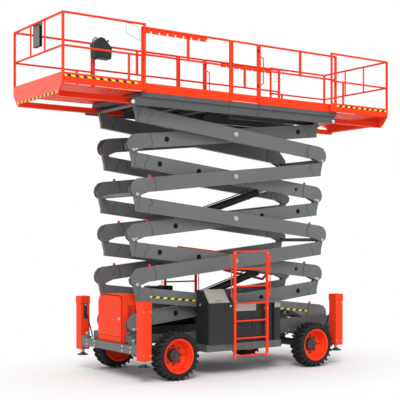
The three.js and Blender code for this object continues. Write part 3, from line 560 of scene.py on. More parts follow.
PIN_X = joint_at("fold_right_4").x
PIN_Z = [
    joint_at(name).z
    for name in (
        "platform_level", "fold_left_1", "fold_right_2", "fold_left_3", "fold_right_4", "lift"
    )
]
ARM_LENGTH = math.hypot(2 * PIN_X, PIN_Z[4] - PIN_Z[5])
HUB_RISE, HORN_DROP, ARM_DEPTH = 0.145, 0.165, 0.255
TILT = math.atan((HUB_RISE + HORN_DROP) / ARM_LENGTH)
OUTER_Y, INNER_Y, ARM_HALF, PROUD = 0.620, 0.496, 0.048, 0.006
OUTER_ARMS = ("a1", "b2", "a3", "b4", "a5")
OWN_HUB_PIN = ("b1", "a2", "b3", "a4", "b4", "a5", "b5")
OWN_HORN_PIN = ("a1", "b2", "a3", "b4")


def arm_top(u):
    return HUB_RISE - u * math.tan(TILT) + ARM_DEPTH / 2 / math.cos(TILT)


def arm_bottom(u):
    return arm_top(u) - ARM_DEPTH / math.cos(TILT)


class Arm:
    """An arm frame's own directions: u from the hub pin to the horn pin, n upwards."""

    def __init__(self, name):
        self.name, self.kind, self.stage = name, name[0], int(name[1])
        side = 1 if self.kind == "b" else -1
        self.hub = Vector((-side * PIN_X, 0, PIN_Z[self.stage]))
        horn = Vector((side * PIN_X, 0, PIN_Z[self.stage - 1]))
        self.run = (horn - self.hub).normalized()
        self.up = Vector((-self.run.z, 0, self.run.x)) * side
        self.outer = name in OUTER_ARMS
        self.y = OUTER_Y if self.outer else INNER_Y
        self.body = "arms_" + name

    def at(self, u, n, y=0.0):
        point = self.hub + self.run * u + self.up * n
        return Vector((point.x, y, point.z))

    def middle(self, s, y=0.0):
        """A point on the arm's centre line, s from its centre towards the horn."""
        u = ARM_LENGTH / 2 + s
        return self.at(u, arm_top(u) - ARM_DEPTH / 2 / math.cos(TILT), y)


ARMS = {name: Arm(name) for name in sorted(n[-2:] for n in NODES if n.startswith("arm_frame"))}

# ---------------------------------------------------------------- paints on the frame's own nodes
OWN_PAINT = {"deck_floor": FLOOR_COAT, "platform_frame": DECK_GREY, "chassis_frame": CHASSIS}
for row in RECORD["subparts"]:
    materials = NODES[row["node"]].data.materials
    materials.clear()
    materials.append(OWN_PAINT.get(row["node"], PAINT_OF[row["material_slot"]]))


def split_paint(name, second, choose):
    """Gives the faces of a node that "choose" picks a second paint."""
    data = NODES[name].data
    data.materials.append(second)
    for face in data.polygons:
        corners = [data.vertices[i].co for i in face.vertices]
        if choose(corners, face.normal):
            face.material_index = 1


def on_beam(corners, normal):
    return min(abs(p.y) for p in corners) < HOUSING_Y and max(p.z for p in corners) < BEAM_TOP


def end_faces_painted_lighter(corners, normal):
    return abs(normal.x) > 0.9 and max(p.z for p in corners) < PANEL_TOP


HOUSING_Y, BEAM_TOP, PANEL_TOP = 0.9925, 0.8, 5.2
for end in ("front", "rear"):
    split_paint(end + "_outrigger_frame", GREY, on_beam)
    # faces turned along X take the lighter orange as painted light
    split_paint(end + "_extension_guardrail", LIT_END_ORANGE, end_faces_painted_lighter)


for shown in NODES.values():  # small rounded edges: merge, flatten, bevel
    weld = shown.modifiers.new("weld", "WELD")
    weld.merge_threshold = 0.00002
    flat = shown.modifiers.new("flatten", "DECIMATE")
    flat.decimate_type = "DISSOLVE"
    flat.angle_limit = rad(0.7)
    flat.delimit = {"MATERIAL"}
    bevel(shown, 0.003, 32)

# ---------------------------------------------------------------- wheels
WHEELS = ("front_far", "front_near", "rear_far", "rear_near")
TYRE_RADIUS, AXLE_HOLE, LUG_COUNT = 0.42, 0.0715, 24


def tyre_lug(side):
    """Two staggered lugs of the tread, one to each shoulder, about the wheel's centre."""
    shape = Shape()
    sections = (
        (-0.010, -0.024, 0.0140, 0.378, 0.4150), (0.045, -0.016, 0.0190, 0.380, 0.4195),
        (0.098, 0.010, 0.0215, 0.378, 0.4195), (0.135, 0.026, 0.0235, 0.366, 0.4150),
        (0.153, 0.031, 0.0235, 0.346, 0.4050), (0.1600, 0.031, 0.0180, 0.340, 0.3900),
    )
    for hand, lag in ((1, 0.0), (-1, math.pi / LUG_COUNT)):
        rings = []
        for y, shift, half, low, high in sections:
            ring = []
            for t, r in ((-half, low), (half, low), (half * 0.82, high), (-half * 0.82, high)):
                angle = (shift + t) / TYRE_RADIUS + lag
                ring.append((r * math.sin(angle), hand * y * side, r * math.cos(angle)))
            rings.append(ring)
        shape.skin(rings)
    return shape


for wheel in WHEELS:
    centre = joint_at(wheel + "_wheel_spin")
    side = 1 if centre.y > 0 else -1
    out = Vector((0, side, 0))
    body = wheel + "_wheel"

    shape = Shape()
    half = [
        (0.112, 0.2785), (0.122, 0.296), (0.1260, 0.3045), (0.142, 0.316), (0.1545, 0.334),
        (0.1530, 0.350), (0.1450, 0.366), (0.130, 0.378), (0.106, 0.384), (0.050, 0.387),
    ]
    outline = half + [(-a, r) for a, r in reversed(half)]
    shape.turned(centre, out, outline, 84, loop=True)
    for proud, radius in ((0.1500, 0.318), (0.1550, 0.333)):
        shape.turned(
            centre, out,
            [
                (0.148, radius - 0.004), (proud + 0.0015, radius - 0.002),
                (proud + 0.0015, radius + 0.002), (0.148, radius + 0.004),
            ],
            84, loop=True,
        )
    shape.make(wheel + "_tyre_casing", body, TYRE, replaces=(wheel + "_tyre",))
    ring_of(wheel + "_tread_lugs", body, tyre_lug(side), LUG_COUNT, centre, TYRE)

    shape = Shape()
    shape.turned(
        centre, out,
        [
            (-0.070, AXLE_HOLE), (-0.070, 0.244), (-0.078, 0.257), (-0.146, 0.259), (-0.150, 0.280),
            (-0.150, 0.300), (-0.145, 0.3035), (-0.136, 0.297), (-0.130, 0.277), (-0.035, 0.2755),
            (-0.020, 0.268), (0.020, 0.268), (0.035, 0.2755), (0.117, 0.277), (0.124, 0.297),
            (0.131, 0.3035), (0.138, 0.3025), (0.141, 0.298), (0.139, 0.284), (0.130, 0.272),
            (0.105, 0.2665), (0.074, 0.2640), (0.066, 0.255), (0.010, 0.249), (-0.020, 0.242),
            (-0.040, 0.226), (-0.048, 0.196), (-0.048, 0.124), (-0.052, 0.118), (-0.052, AXLE_HOLE),
        ],
        72, loop=True,
    )
    shape.make(wheel + "_dished_rim", body, ORANGE, replaces=(wheel + "_rim",))

    shape = Shape()
    shape.turned(
        centre, out,
        [
            (-0.052, 0.122), (-0.040, 0.122), (-0.036, 0.118), (-0.036, 0.110), (0.008, 0.108),
            (0.014, 0.102), (0.0145, 0.062), (0.0115, 0.058), (0.0115, 0.0515), (0.0045, 0.0515),
            (0.0045, AXLE_HOLE), (-0.052, AXLE_HOLE),
        ],
        48, loop=True,
    )
    shape.turned(centre, out, [(0.0045, 0.0500), (0.0105, 0.0500), (0.0125, 0.0480)], 32)
    shape.make(wheel + "_hub_cap", body, DARK)
    nut = Shape()
    nut.turned((0, -0.050 * side, 0.160), out, [(0, 0.021), (0.004, 0.021), (0.006, 0.019)], 14)
    nut.turned((0, -0.046 * side, 0.160), out, [(0, 0.0165), (0.013, 0.0165), (0.017, 0.013)], 6)
    nut.turned((0, -0.034 * side, 0.160), out, [(0, 0.0085), (0.013, 0.0085), (0.015, 0.006)], 10)
    ring_of(wheel + "_wheel_nuts", body, nut, 8, centre, DARK)
    stem = Shape()
    stem.rod(
        centre - out * 0.046 + Vector((0.205, 0, 0)), centre - out * 0.004 + Vector((0.222, 0, 0)),
        0.005, 10,
    )
    stem.make(wheel + "_valve_stem", body, PLASTIC)

# ---------------------------------------------------------------- scissor arms
CROSS_TUBES = {
    "b1": (-1.450, 1.624),
    "a2": (0.750, 1.590),
    "b3": (-1.260, 0.715, 1.624),
    "a4": (0.750, 1.590),
    "b5": (-1.260, 0.700, 1.624),
}
SPLIT_TUBE, LUG_FACE = -1.585, 0.0753
TUBE_R, BORE_R = 0.0565, 0.041


def hub_edge_shade_line(arm, face):
    """The rounded edge of the hub's side plate, as a thin line across the arm, painted dark as the
    edge's shade.
    """
    return bent(
        [
            arm.at(u, n, face)
            for u, n in (
                (0.372, arm_top(0.372)), (0.398, arm_top(0.39) - 0.060),
                (0.405, (arm_top(0.4) + arm_bottom(0.4)) / 2), (0.398, arm_bottom(0.39) + 0.055),
                (0.372, arm_bottom(0.372)),
            )
        ]
    )


def horn_edge_shade_line(arm, face):
    """The waved edge of the doubling plate at the horn, as a thin line painted dark as the edge's
    shade.
    """
    return bent(
        [
            arm.at(ARM_LENGTH - back, arm_top(ARM_LENGTH - back) - drop, face)
            for back, drop in (
                (0.250, 0.002), (0.325, 0.050), (0.335, 0.085), (0.300, 0.125), (0.275, 0.165),
                (0.285, 0.205), (0.262, ARM_DEPTH - 0.003),
            )
        ]
    )


RED_PADS = ("b2", "b3", "b4", "a2", "a3", "a4", "a5")
for name, arm in ARMS.items():
    shade_lines, pads, pins, tubes = Shape(), Shape(), Shape(), Shape()
    bolt_places = []
    for _, side in SIDES:
        # thin raised beads along the plate edges, painted near-black as the shade of those edges
        for out in (1, -1):
            face = side * (arm.y + out * (ARM_HALF + PROUD * 0.9))
            shade_lines.pipe(hub_edge_shade_line(arm, face), 0.0032, 6)
            face = side * (arm.y + out * (ARM_HALF - 0.001))
            shade_lines.pipe(horn_edge_shade_line(arm, face), 0.0036, 6)
        outward = Vector((0, side, 0))
        outer_face = arm.y + ARM_HALF + PROUD
        for owners, u in ((OWN_HUB_PIN, 0.0), (OWN_HORN_PIN, ARM_LENGTH)):
            if name in owners:
                end = arm.at(u, 0, side * (outer_face + 0.012))
                pins.turned(
                    end, outward,
                    [
                        (-0.010, 0.0315), (0.0025, 0.0315), (0.0045, 0.0290), (0.0045, 0.0200),
                        (0.0022, 0.0180), (0.0022, 0.006),
                    ],
                    28,
                )
                pins.turned(end, outward, [(0.002, 0.0075), (0.009, 0.0075), (0.010, 0.006)], 6)
        if name in OWN_HUB_PIN and not arm.outer:
            keeper = [
                arm.at(u, n, side * (outer_face + 0.0003))
                for u, n in ((0.030, -0.016), (0.085, -0.006), (0.085, 0.022), (0.030, 0.020))
            ]
            pins.plate(keeper, (0, side * 0.006, 0))
            bolt_places.append((arm.at(0.068, 0.008, side * (outer_face + 0.006)), outward, 0.7))
        if not arm.outer:
            cap = arm.at(ARM_LENGTH / 2, 0, side * (OUTER_Y + ARM_HALF))
            pins.turned(
                cap, outward,
                [
                    (0.0006, 0.0490), (0.0130, 0.0490), (0.0155, 0.0465), (0.0155, 0.0350),
                    (0.0128, 0.0330), (0.0128, 0.010),
                ],
                36,
            )
            bolt_places.append((cap + outward * 0.0125, outward, 1.35))
            for a in (rad(30), rad(150), rad(270)):
                spoke = (arm.run * math.cos(a) + arm.up * math.sin(a)) * 0.023
                bolt_places.append((cap + outward * 0.0125 + spoke, outward, 0.45))
        if name in RED_PADS:
            base = 0.335 if arm.outer else 0.360
            top = arm_top(base) - 0.002
            foot = arm.at(base, top, side * arm.y)
            for h0, h1, h2, r0, r1, r2 in (
                (0, 0.007, 0.009, 0.031, 0.028, 0.012), (0.004, 0.038, 0.044, 0.023, 0.019, 0.006)
            ):
                pads.turned(foot, arm.up, [(h0, r0), (h1, r0), (h2, r1), (h2, r2)], 24)
        for s in CROSS_TUBES.get(name, ()):
            middle = arm.middle(s)
            end = Vector((middle.x, side * (arm.y + ARM_HALF), middle.z))
            # a near-black ring at the tube's end and a short disc inside the bore, painted as the
            # shade in the open end
            tubes.turned(
                end, outward,
                [
                    (-0.004, BORE_R - 0.0030), (0.0008, BORE_R - 0.0030), (0.0008, BORE_R + 0.0085),
                    (-0.004, BORE_R + 0.0085),
                ],
                36, 1, loop=True,
            )
            tubes.turned(end, -outward, [(0.010, BORE_R - 0.0012), (0.016, BORE_R - 0.0012)], 28, 1)
        if name in ("a2", "a4"):
            middle = arm.middle(SPLIT_TUBE)
            tubes.rod(
                (middle.x, side * LUG_FACE, middle.z),
                (middle.x, side * (arm.y - ARM_HALF - 0.0005), middle.z), TUBE_R, 36,
            )
    for s in CROSS_TUBES.get(name, ()):
        middle = arm.middle(s)
        reach = arm.y - ARM_HALF - 0.0005
        tubes.rod((middle.x, -reach, middle.z), (middle.x, reach, middle.z), TUBE_R, 36)
    if arm.outer:
        shaft = 0.0 if name == "a5" else ARM_LENGTH
        point = arm.at(shaft, 0)
        reach = arm.y - ARM_HALF - (0.014 if shaft else 0.002)
        tubes.rod((point.x, -reach, point.z), (point.x, reach, point.z), 0.0352, 32)
    shade_lines.make("arm_%s_plate_seams" % name, arm.body, PAINTED_SHADE_AND_BLACK)
    pads.make("arm_%s_stop_pads" % name, arm.body, RED, 0.002)
    pins.make("arm_%s_pin_caps" % name, arm.body, ZINC)
    tubes.make("arm_%s_cross_tubes" % name, arm.body, [GREY, PAINTED_SHADE_AND_BLACK])
    if bolt_places:
        bolts("arm_%s_bolts" % name, arm.body, bolt_places, ZINC)

# hazard tape along the lowest outer arms
arm = ARMS["a5"]
tape = Shape()
for _, side in SIDES:
    face = side * (arm.y + ARM_HALF)
    for near_u, far_u in ((0.40, 1.155), (3.075, 4.045)):
        start, end = (
            arm.at(u, arm_top(u) * 0.42 + arm_bottom(u) * 0.58 - 0.015, face)
            for u in (near_u, far_u)
        )
        tape.strip(start, end, arm.up, 0.031, (0, side * 0.0012, 0))
tape.make("lower_arm_hazard_tape", arm.body, TAPE)

# hoses clipped along the inner arms, one run on each stage
for name in ("b5", "a4", "b3", "a2", "b1"):
    arm = ARMS[name]
    u0, u1 = 0.75, 3.80 if name == "b1" else 3.95
    hoses, clips = Shape(), Shape()
    face = -(arm.y - ARM_HALF)
    for k, radius in enumerate((0.013, 0.013, 0.009)):
        drop = 0.060 + 0.034 * k
        path = [
            arm.at(u, arm_top(u) - drop, face + radius + 0.004)
            for u in (u0, u0 + 0.5, (u0 + u1) / 2, u1 - 0.5, u1)
        ]
        hoses.pipe(bent(path, 4), radius, 10)
    for i in range(5):
        u = u0 + 0.15 + (u1 - u0 - 0.3) * i / 4
        clips.plate(
            [
                arm.at(u + a, arm_top(u) - n, face)
                for a, n in ((-0.018, 0.035), (0.018, 0.035), (0.018, 0.152), (-0.018, 0.152))
            ],
            (0, 0.034, 0),
        )
    hoses.make("arm_%s_hoses" % name, arm.body, HOSE)
    clips.make("arm_%s_hose_clips" % name, arm.body, PAINTED_SHADE_AND_BLACK, 0.002)

# ---------------------------------------------------------------- lift cylinders
EYE_R, FOOT_PORT, HEAD_PORT = 0.062, 0.170, 2.020
EYE = [
    (-0.054, 0.0335), (-0.054, 0.056), (-0.050, 0.0615), (0.050, 0.0615), (0.054, 0.056),
    (0.054, 0.0335),
]
for stage in ("lower", "upper"):
    foot = joint_at(stage + "_barrel_swing")
    axis = Vector(JOINTS[stage + "_rod_slide"]["axis"]).normalized()
    top_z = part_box(stage + "_lift_rod")[1][2] - EYE_R
    head = foot + axis * ((top_z - foot.z) / axis.z)
    length = (head - foot).length
    barrel, rod = Shape(), Shape()
    barrel.turned(
        foot, axis,
        [
            (0.082, 0.030), (0.082, 0.064), (0.092, 0.0725), (2.160, 0.0725), (2.162, 0.0805),
            (2.224, 0.0805), (2.2305, 0.074), (2.2305, 0.0455), (2.100, 0.0455), (2.100, 0.030),
        ],
        48,
    )
    for base in (0.300, 1.980):
        barrel.turned(
            foot + axis * base, axis,
            [(0, 0.0735), (0.004, 0.0765), (0.030, 0.0765), (0.034, 0.0735)], 48,
        )
    side, up = square_to(axis)
    if up.z < 0:
        up = -up
    barrel.turned(foot, (0, 1, 0), EYE, 36, loop=True)
    barrel.rod(foot + axis * 0.055, foot + axis * 0.090, 0.046, 24)
    for along in (FOOT_PORT, HEAD_PORT):
        port = foot + axis * along + up * 0.070
        barrel.rod(port, port + up * 0.030, 0.020, 16)
        barrel.rod(port + up * 0.018, port + up * 0.042, 0.015, 6)
    barrel.hose(
        [
            foot + axis * a + up * h + Vector((0, y, 0))
            for a, h, y in (
                (HEAD_PORT, 0.106, 0), (1.975, 0.122, 0.004), (1.88, 0.102, 0.010),
                (1.60, 0.089, 0.014), (1.00, 0.088, 0.014), (0.50, 0.089, 0.012),
                (0.26, 0.112, 0.006), (FOOT_PORT, 0.108, 0),
            )
        ],
        0.010,
    )
    barrel.make(
        stage + "_cylinder_barrel", stage + "_barrel", BLACK, replaces=(stage + "_lift_barrel",)
    )
    rod.turned(
        foot, axis,
        [
            (length - 1.690, 0.0438), (length - 0.085, 0.0438), (length - 0.080, 0.040),
            (length - 0.050, 0.040),
        ],
        40,
    )
    rod.turned(head, (0, 1, 0), EYE, 36, 1, loop=True)
    rod.make(
        stage + "_cylinder_rod", stage + "_rod", [CHROME, BLACK], replaces=(stage + "_lift_rod",)
    )

# ---------------------------------------------------------------- outriggers
FOOT_Y = 1.088
for corner in WHEELS:
    low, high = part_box(corner + "_jack_foot")
    x, side = (low[0] + high[0]) / 2, (1 if low[1] + high[1] > 0 else -1)
    y, base = FOOT_Y * side, low[2]
    body = corner + "_jack"
    foot = Shape()
    foot.turned(
        (x, y, base), (0, 0, 1),
        [
            (0, 0.098), (0.004, 0.106), (0.010, 0.108), (0.016, 0.104), (0.020, 0.070),
            (0.030, 0.050), (0.046, 0.044), (0.050, 0.030),
        ],
        44, 0,
    )
    foot.turned(
        (x, y, base), (0, 0, 1), [(0.040, 0.036), (0.052, 0.036), (0.060, 0.030), (0.135, 0.030)],
        32, 1,
    )
    foot.turned(
        (x, y, base), (0, 0, 1), [(0.085, 0.036), (0.092, 0.036), (0.094, 0.034), (0.118, 0.034)],
        32, 1,
    )
    foot.block((x - 0.066, y - 0.071, 0.394), (x + 0.066, y + 0.071, 1.196), 2)
    for i in range(4):
        a = rad(45 + 90 * i)
        foot.turned(
            (x + 0.082 * math.cos(a), y + 0.082 * math.sin(a), base + 0.014), (0, 0, 1),
            [(0, 0.011), (0.010, 0.011), (0.012, 0.009)], 6, 1,
        )
    foot.make(
        corner + "_outrigger_foot", body, [PLASTIC, ZINC, PAINTED_SHADE_AND_BLACK], 0.0015,
        replaces=(corner + "_jack_foot",),
    )

    ram = Shape()
    ram.block((x - 0.033, y - side * 0.0925, 0.951), (x + 0.033, y - side * 0.0820, 1.289))
    ram.rod((x, y - side * 0.088, 0.965), (x, y - side * 0.088, 1.275), 0.022, 24)
    ram.rod(
        (x - 0.004, y - side * 0.104, 1.215), (x + 0.004, y - side * 0.104, 1.262), 0.008, 16, 1
    )
    ram.turned(
        (x, y - side * 0.106, 1.205), (0, -side, 0),
        [(-0.006, 0.013), (0.010, 0.013), (0.013, 0.009)], 6, 1,
    )
    ram.make(corner + "_outrigger_ram_cover", "chassis", [PLASTIC, ZINC])
    fixed = []
    for dx in (-0.055, 0.055):
        fixed.append(((x + dx, 0.967 * side, 0.6405), (0, 0, 1), 0.8))
    outer = y + side * 0.0955
    for z in (0.470, 1.210):
        for dx in (-0.062, 0.062):
            fixed.append(((x + dx, outer, z), (0, side, 0), 0.62))
    bolts(corner + "_outrigger_bolts", "chassis", fixed, ZINC)
    hose = Shape()
    turn = 1 if x < 0 else -1
    hose.hose(
        [
            (x, y - side * 0.102, 1.10), (x + turn * 0.01, y - side * 0.150, 1.02),
            (x + turn * 0.03, y - side * 0.205, 0.86), (x + turn * 0.05, y - side * 0.255, 0.70),
            (x + turn * 0.06, y - side * 0.275, 0.615),
        ],
        0.011,
    )
    hose.make(corner + "_outrigger_hose", "chassis", HOSE)

for end, turn in (("front", 1), ("rear", -1)):
    chassis_low, chassis_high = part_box("chassis_frame")
    beam_face = (chassis_low[0] - 0.086) if turn > 0 else (chassis_high[0] + 0.078)
    places = [
        ((beam_face, y, z), (-turn, 0, 0), 1.5)
        for y in (-0.782, 0.505, 0.782, -0.505)
        for z in (0.505, 0.578)
    ]
    bolts(end + "_beam_bolts", "chassis", places, ZINC)
    pins = Shape()
    mid = beam_face + turn * 0.043
    for _, side in SIDES:
        pins.turned(
            (mid, 0.830 * side, 0.700), (0, 0, 1),
            [(-0.004, 0.041), (0.010, 0.041), (0.014, 0.036), (0.014, 0.014), (0.030, 0.012)], 28,
        )
        pins.turned(
            (mid, 0.830 * side, 0.455), (0, 0, -1),
            [(-0.004, 0.041), (0.006, 0.041), (0.010, 0.036)], 28,
        )
    pins.make(end + "_outrigger_pins", "chassis", ZINC)

# ---------------------------------------------------------------- end cabinet
low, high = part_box("end_cabinet_door")
cab_low, cab_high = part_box("end_cabinet")
door_x, half = cab_low[0], high[1]
door = Shape()
z0, z1 = low[2], high[2]
door_outline = [
    (door_x, -half, z0 + 0.022), (door_x, -half + 0.022, z0), (door_x, half - 0.022, z0),
    (door_x, half, z0 + 0.022), (door_x, half, z1 - 0.115), (door_x, half - 0.095, z1),
    (door_x, -half + 0.055, z1), (door_x, -half + 0.018, z1 - 0.020), (door_x, -half, z1 - 0.060),
]
door.plate([(x - 0.0006, y, z) for x, y, z in door_outline], (-0.0175, 0, 0), 0)
inset = [
    (x - 0.0182, y * 0.93, (z - (z0 + z1) / 2) * 0.95 + (z0 + z1) / 2) for x, y, z in door_outline
]
door.plate(inset, (-0.003, 0, 0), 0)
door.block((door_x - 0.0222, -half + 0.012, 0.722), (door_x - 0.0208, half - 0.012, 0.728), 2)
latch_y, latch_z = -half + 0.062, 1.040
door.block(
    (door_x - 0.0262, latch_y - 0.034, latch_z - 0.022),
    (door_x - 0.0208, latch_y + 0.034, latch_z + 0.022), 3,
)
door.turned(
    (door_x - 0.0250, latch_y, latch_z), (-1, 0, 0), [(0, 0.015), (0.0045, 0.015), (0.006, 0.012)],
    20, 1,
)
door.block(
    (door_x - 0.031, latch_y - 0.006, latch_z - 0.020),
    (door_x - 0.0275, latch_y + 0.006, latch_z + 0.020), 2,
)
for z in (0.80, 1.25):
    door.rod(
        (door_x - 0.010, half + 0.003, z - 0.045), (door_x - 0.010, half + 0.003, z + 0.045),
        0.0085, 16, 1,
    )
door.make(
    "cabinet_door_panel", "cabinet_door", [ORANGE, ZINC, PAINTED_SHADE_AND_BLACK, PALE], 0.0025,
    replaces=("end_cabinet_door",),
)

trim = Shape()
# a near-black ring a little wider than the door, painted as the shade round the door's edge
wide = [
    (door_x - 0.0032, y * 1.034, (z - (z0 + z1) / 2) * 1.030 + (z0 + z1) / 2)
    for _, y, z in door_outline
]
trim.plate(wide, (0.004, 0, 0), 1)
trim.plate(
    [
        (door_x - 0.016, -0.428, 0.6205), (door_x - 0.016, 0.428, 0.6205),
        (door_x - 0.016, 0.428, 0.638), (door_x - 0.016, -0.428, 0.638),
    ],
    (0.0155, 0, 0), 0,
)
trim.make("cabinet_trim", "chassis", [ORANGE, PAINTED_SHADE_AND_BLACK], 0.002)


def cabinet_outline(x, inset, low_z, high_z, half_y, clip):
    """The cabinet's section at x, its top corner on the far side cut off."""
    y, z0, z1 = half_y - inset, low_z + inset, high_z - inset
    return [
        (x, -y, z0), (x, y, z0), (x, y, z1 - clip), (x, y - clip * 0.8, z1), (x, -y + 0.030, z1),
        (x, -y + 0.009, z1 - 0.009), (x, -y, z1 - 0.030),
    ]


shell = Shape()
z0, z1, x0, x1, cab_half = cab_low[2], cab_high[2], cab_low[0], cab_high[0], cab_high[1]
shell.skin(
    [
        cabinet_outline(x1 - 0.012, 0.012, z0, z1, cab_half, 0.095),
        cabinet_outline(x0 + 0.020, 0.012, z0, z1, cab_half, 0.095),
        cabinet_outline(x0 + 0.020, 0.044, z0, z1, cab_half, 0.080),
        cabinet_outline(x0, 0.044, z0, z1, cab_half, 0.080),
        cabinet_outline(x0, 0.0, z0, z1, cab_half, 0.100),
        cabinet_outline(x1, 0.0, z0, z1, cab_half, 0.100),
    ]
)
shell.make("cabinet_shell", "chassis", ORANGE, 0.004, replaces=("end_cabinet",))

# flat near-black plates painted as the shade inside the louvre openings; an orange hood over each
slot = Shape()
slot.plate(
    [
        (-0.052, -0.006, -0.0005), (0.052, -0.006, -0.0005), (0.052, 0.006, -0.0005),
        (-0.052, 0.006, -0.0005),
    ],
    (0, 0, 0.0015),
)
hood = Shape()
hood.skin(
    [
        [(x, -0.007, 0.0005), (x, 0.010, 0.0005), (x, 0.006, 0.008), (x, -0.001, 0.011)]
        for x in (-0.056, 0.056)
    ]
)
slot_shade_rows, hood_rows = [], []
for _, side in SIDES:
    for column in (-2.125, -1.990):
        for row in range(9):
            z = 0.985 + 0.034 * row
            slot_shade_rows.append(((column, side * 0.4282, z), (0, side, 0), (1, 0, 0), 1.0))
            hood_rows.append(((column, side * 0.4280, z + 0.012), (0, side, 0), (-side, 0, 0), 1.0))
set_on_points("cabinet_louvre_slots", "chassis", slot, slot_shade_rows, PAINTED_SHADE_AND_BLACK)
set_on_points("cabinet_louvre_hoods", "chassis", hood, hood_rows, ORANGE)

# ---------------------------------------------------------------- side boxes
BOX_FRONT, STEP_FRONT, STEP_TOP, BOX_EDGE, BOX_TOP = 1.165, 1.075, 1.262, 1.292, 1.525
BOX_X0, BOX_X1, BOX_X2, BOX_X3 = -0.975, -0.430, 0.545, 0.690
LID_HINGE_Y = 0.985
for hand, side in SIDES:
    out = Vector((0, side, 0))
    plates = Shape()
    roof = (STEP_TOP + 0.0003, STEP_TOP + 0.006)
    for x, y, z in (
        (
            (BOX_X1 + 0.012, 0.150), (STEP_FRONT - 0.0005, STEP_FRONT + 0.005),
            (1.130, STEP_TOP - 0.004),
        ),
        ((BOX_X1 + 0.012, 0.150), (0.850, STEP_FRONT + 0.005), roof),
        ((0.180, BOX_X2 - 0.004), (0.850, STEP_FRONT - 0.004), roof),
        ((BOX_X2 + 0.004, BOX_X3 - 0.004), (1.1195, 1.125), (1.170, STEP_TOP - 0.004)),
        ((BOX_X2 + 0.004, BOX_X3 - 0.004), (0.850, 1.125), roof),
    ):
        plates.side_block(side, x, y, z)
    plates.make(hand + "_box_step_plates", "chassis", SILVER, 0.002)

    # door seams, hinges and locks of the lower box
    trim = Shape()
    for x0, x1 in ((BOX_X1 + 0.03, 0.040), (0.050, BOX_X2 - 0.02)):
        trim.side_block(side, (x0, x1), (STEP_FRONT - 0.001, STEP_FRONT + 0.0035), (0.600, 1.110))
        for z in (0.66, 1.04):
            hinge = (x0 + 0.006, x0 + 0.026)
            trim.side_block(
                side, hinge, (STEP_FRONT + 0.003, STEP_FRONT + 0.011), (z, z + 0.060), 1
            )
        pull = (x1 - 0.060, x1 - 0.022)
        trim.side_block(side, pull, (STEP_FRONT + 0.003, STEP_FRONT + 0.009), (0.820, 0.910), 1)
    trim.side_block(side, (BOX_X2 + 0.020, BOX_X3 - 0.020), (1.119, 1.1235), (0.620, 1.140))
    panel = (BOX_X0 + 0.020, BOX_X1 - 0.020)
    trim.side_block(side, panel, (BOX_FRONT - 0.001, BOX_FRONT + 0.003), (0.600, 1.262))
    for x in (BOX_X0 + 0.060, BOX_X1 - 0.115):
        catch = (BOX_FRONT + 0.0025, BOX_FRONT + 0.009)
        trim.side_block(side, (x, x + 0.055), catch, (1.215, 1.250), 1)
    trim.make(hand + "_box_doors", "chassis", [BLACK, DARK], 0.002)

    lock = Shape()
    lock.turned(
        (BOX_X0, side * 0.905, 1.262), (-1, 0, 0),
        [(-0.001, 0.026), (0.006, 0.026), (0.009, 0.022), (0.009, 0.006)], 24,
    )
    lock.block(
        (BOX_X0 - 0.016, side * 0.905 - 0.007, 1.240), (BOX_X0 - 0.008, side * 0.905 + 0.007, 1.284)
    )
    lock.turned(
        (-0.495, side * BOX_FRONT, 1.238), out,
        [(0.0, 0.020), (0.010, 0.020), (0.013, 0.016), (0.013, 0.005)], 24,
    )
    lock.make(hand + "_box_locks", "chassis", ZINC)
    columns = (BOX_X0 + 0.028, BOX_X1 - 0.028)
    places = heads(columns, side * (BOX_FRONT + 0.0005), (0.60, 0.92, 1.262), out, 0.55)
    columns = (BOX_X1 + 0.02, 0.045, BOX_X2 - 0.012)
    places += heads(columns, side * (STEP_FRONT + 0.001), (0.585,), out, 0.55)
    places += heads((-0.90, -0.55, -0.20, 0.15, 0.50), side * 1.130, (0.505,), out, 0.8)
    bolts(hand + "_box_bolts", "chassis", places, DARK)

    # lid: pressed border, lift handle, and its hinge knuckles along the top
    lid = Shape()
    slope = Vector((0, side * (BOX_FRONT - LID_HINGE_Y), BOX_EDGE - BOX_TOP)).normalized()
    normal = Vector((0, side * abs(slope.z), abs(slope.y)))
    top = Vector((0, side * LID_HINGE_Y, BOX_TOP))

    def on_lid(x, down, off):
        return Vector((x, 0, 0)) + top + slope * down + normal * off

    span = math.hypot(BOX_FRONT - LID_HINGE_Y, BOX_TOP - BOX_EDGE)
    for x0, x1, d0, d1 in (
        (-0.955, -0.530, 0.020, 0.034), (-0.955, -0.530, span - 0.030, span - 0.016),
        (-0.955, -0.941, 0.034, span - 0.030), (-0.544, -0.530, 0.034, span - 0.030),
    ):
        corners = ((x0, d0), (x1, d0), (x1, d1), (x0, d1))
        lid.plate([on_lid(x, down, 0.0136) for x, down in corners], normal * 0.0035)
    handle = [
        on_lid(x, span - 0.060, off)
        for x, off in (
            (-0.800, 0.012), (-0.798, 0.040), (-0.770, 0.052), (-0.700, 0.052), (-0.672, 0.040),
            (-0.670, 0.012),
        )
    ]
    lid.hose(handle, 0.006, paint=1)
    for x in (-0.880, -0.600):
        lid.rod(on_lid(x - 0.035, 0.000, 0.0085), on_lid(x + 0.035, 0.000, 0.0085), 0.0075, 16, 1)
    lid.make(hand + "_lid_trim", hand + "_lid", [SILVER, ZINC], 0.001)

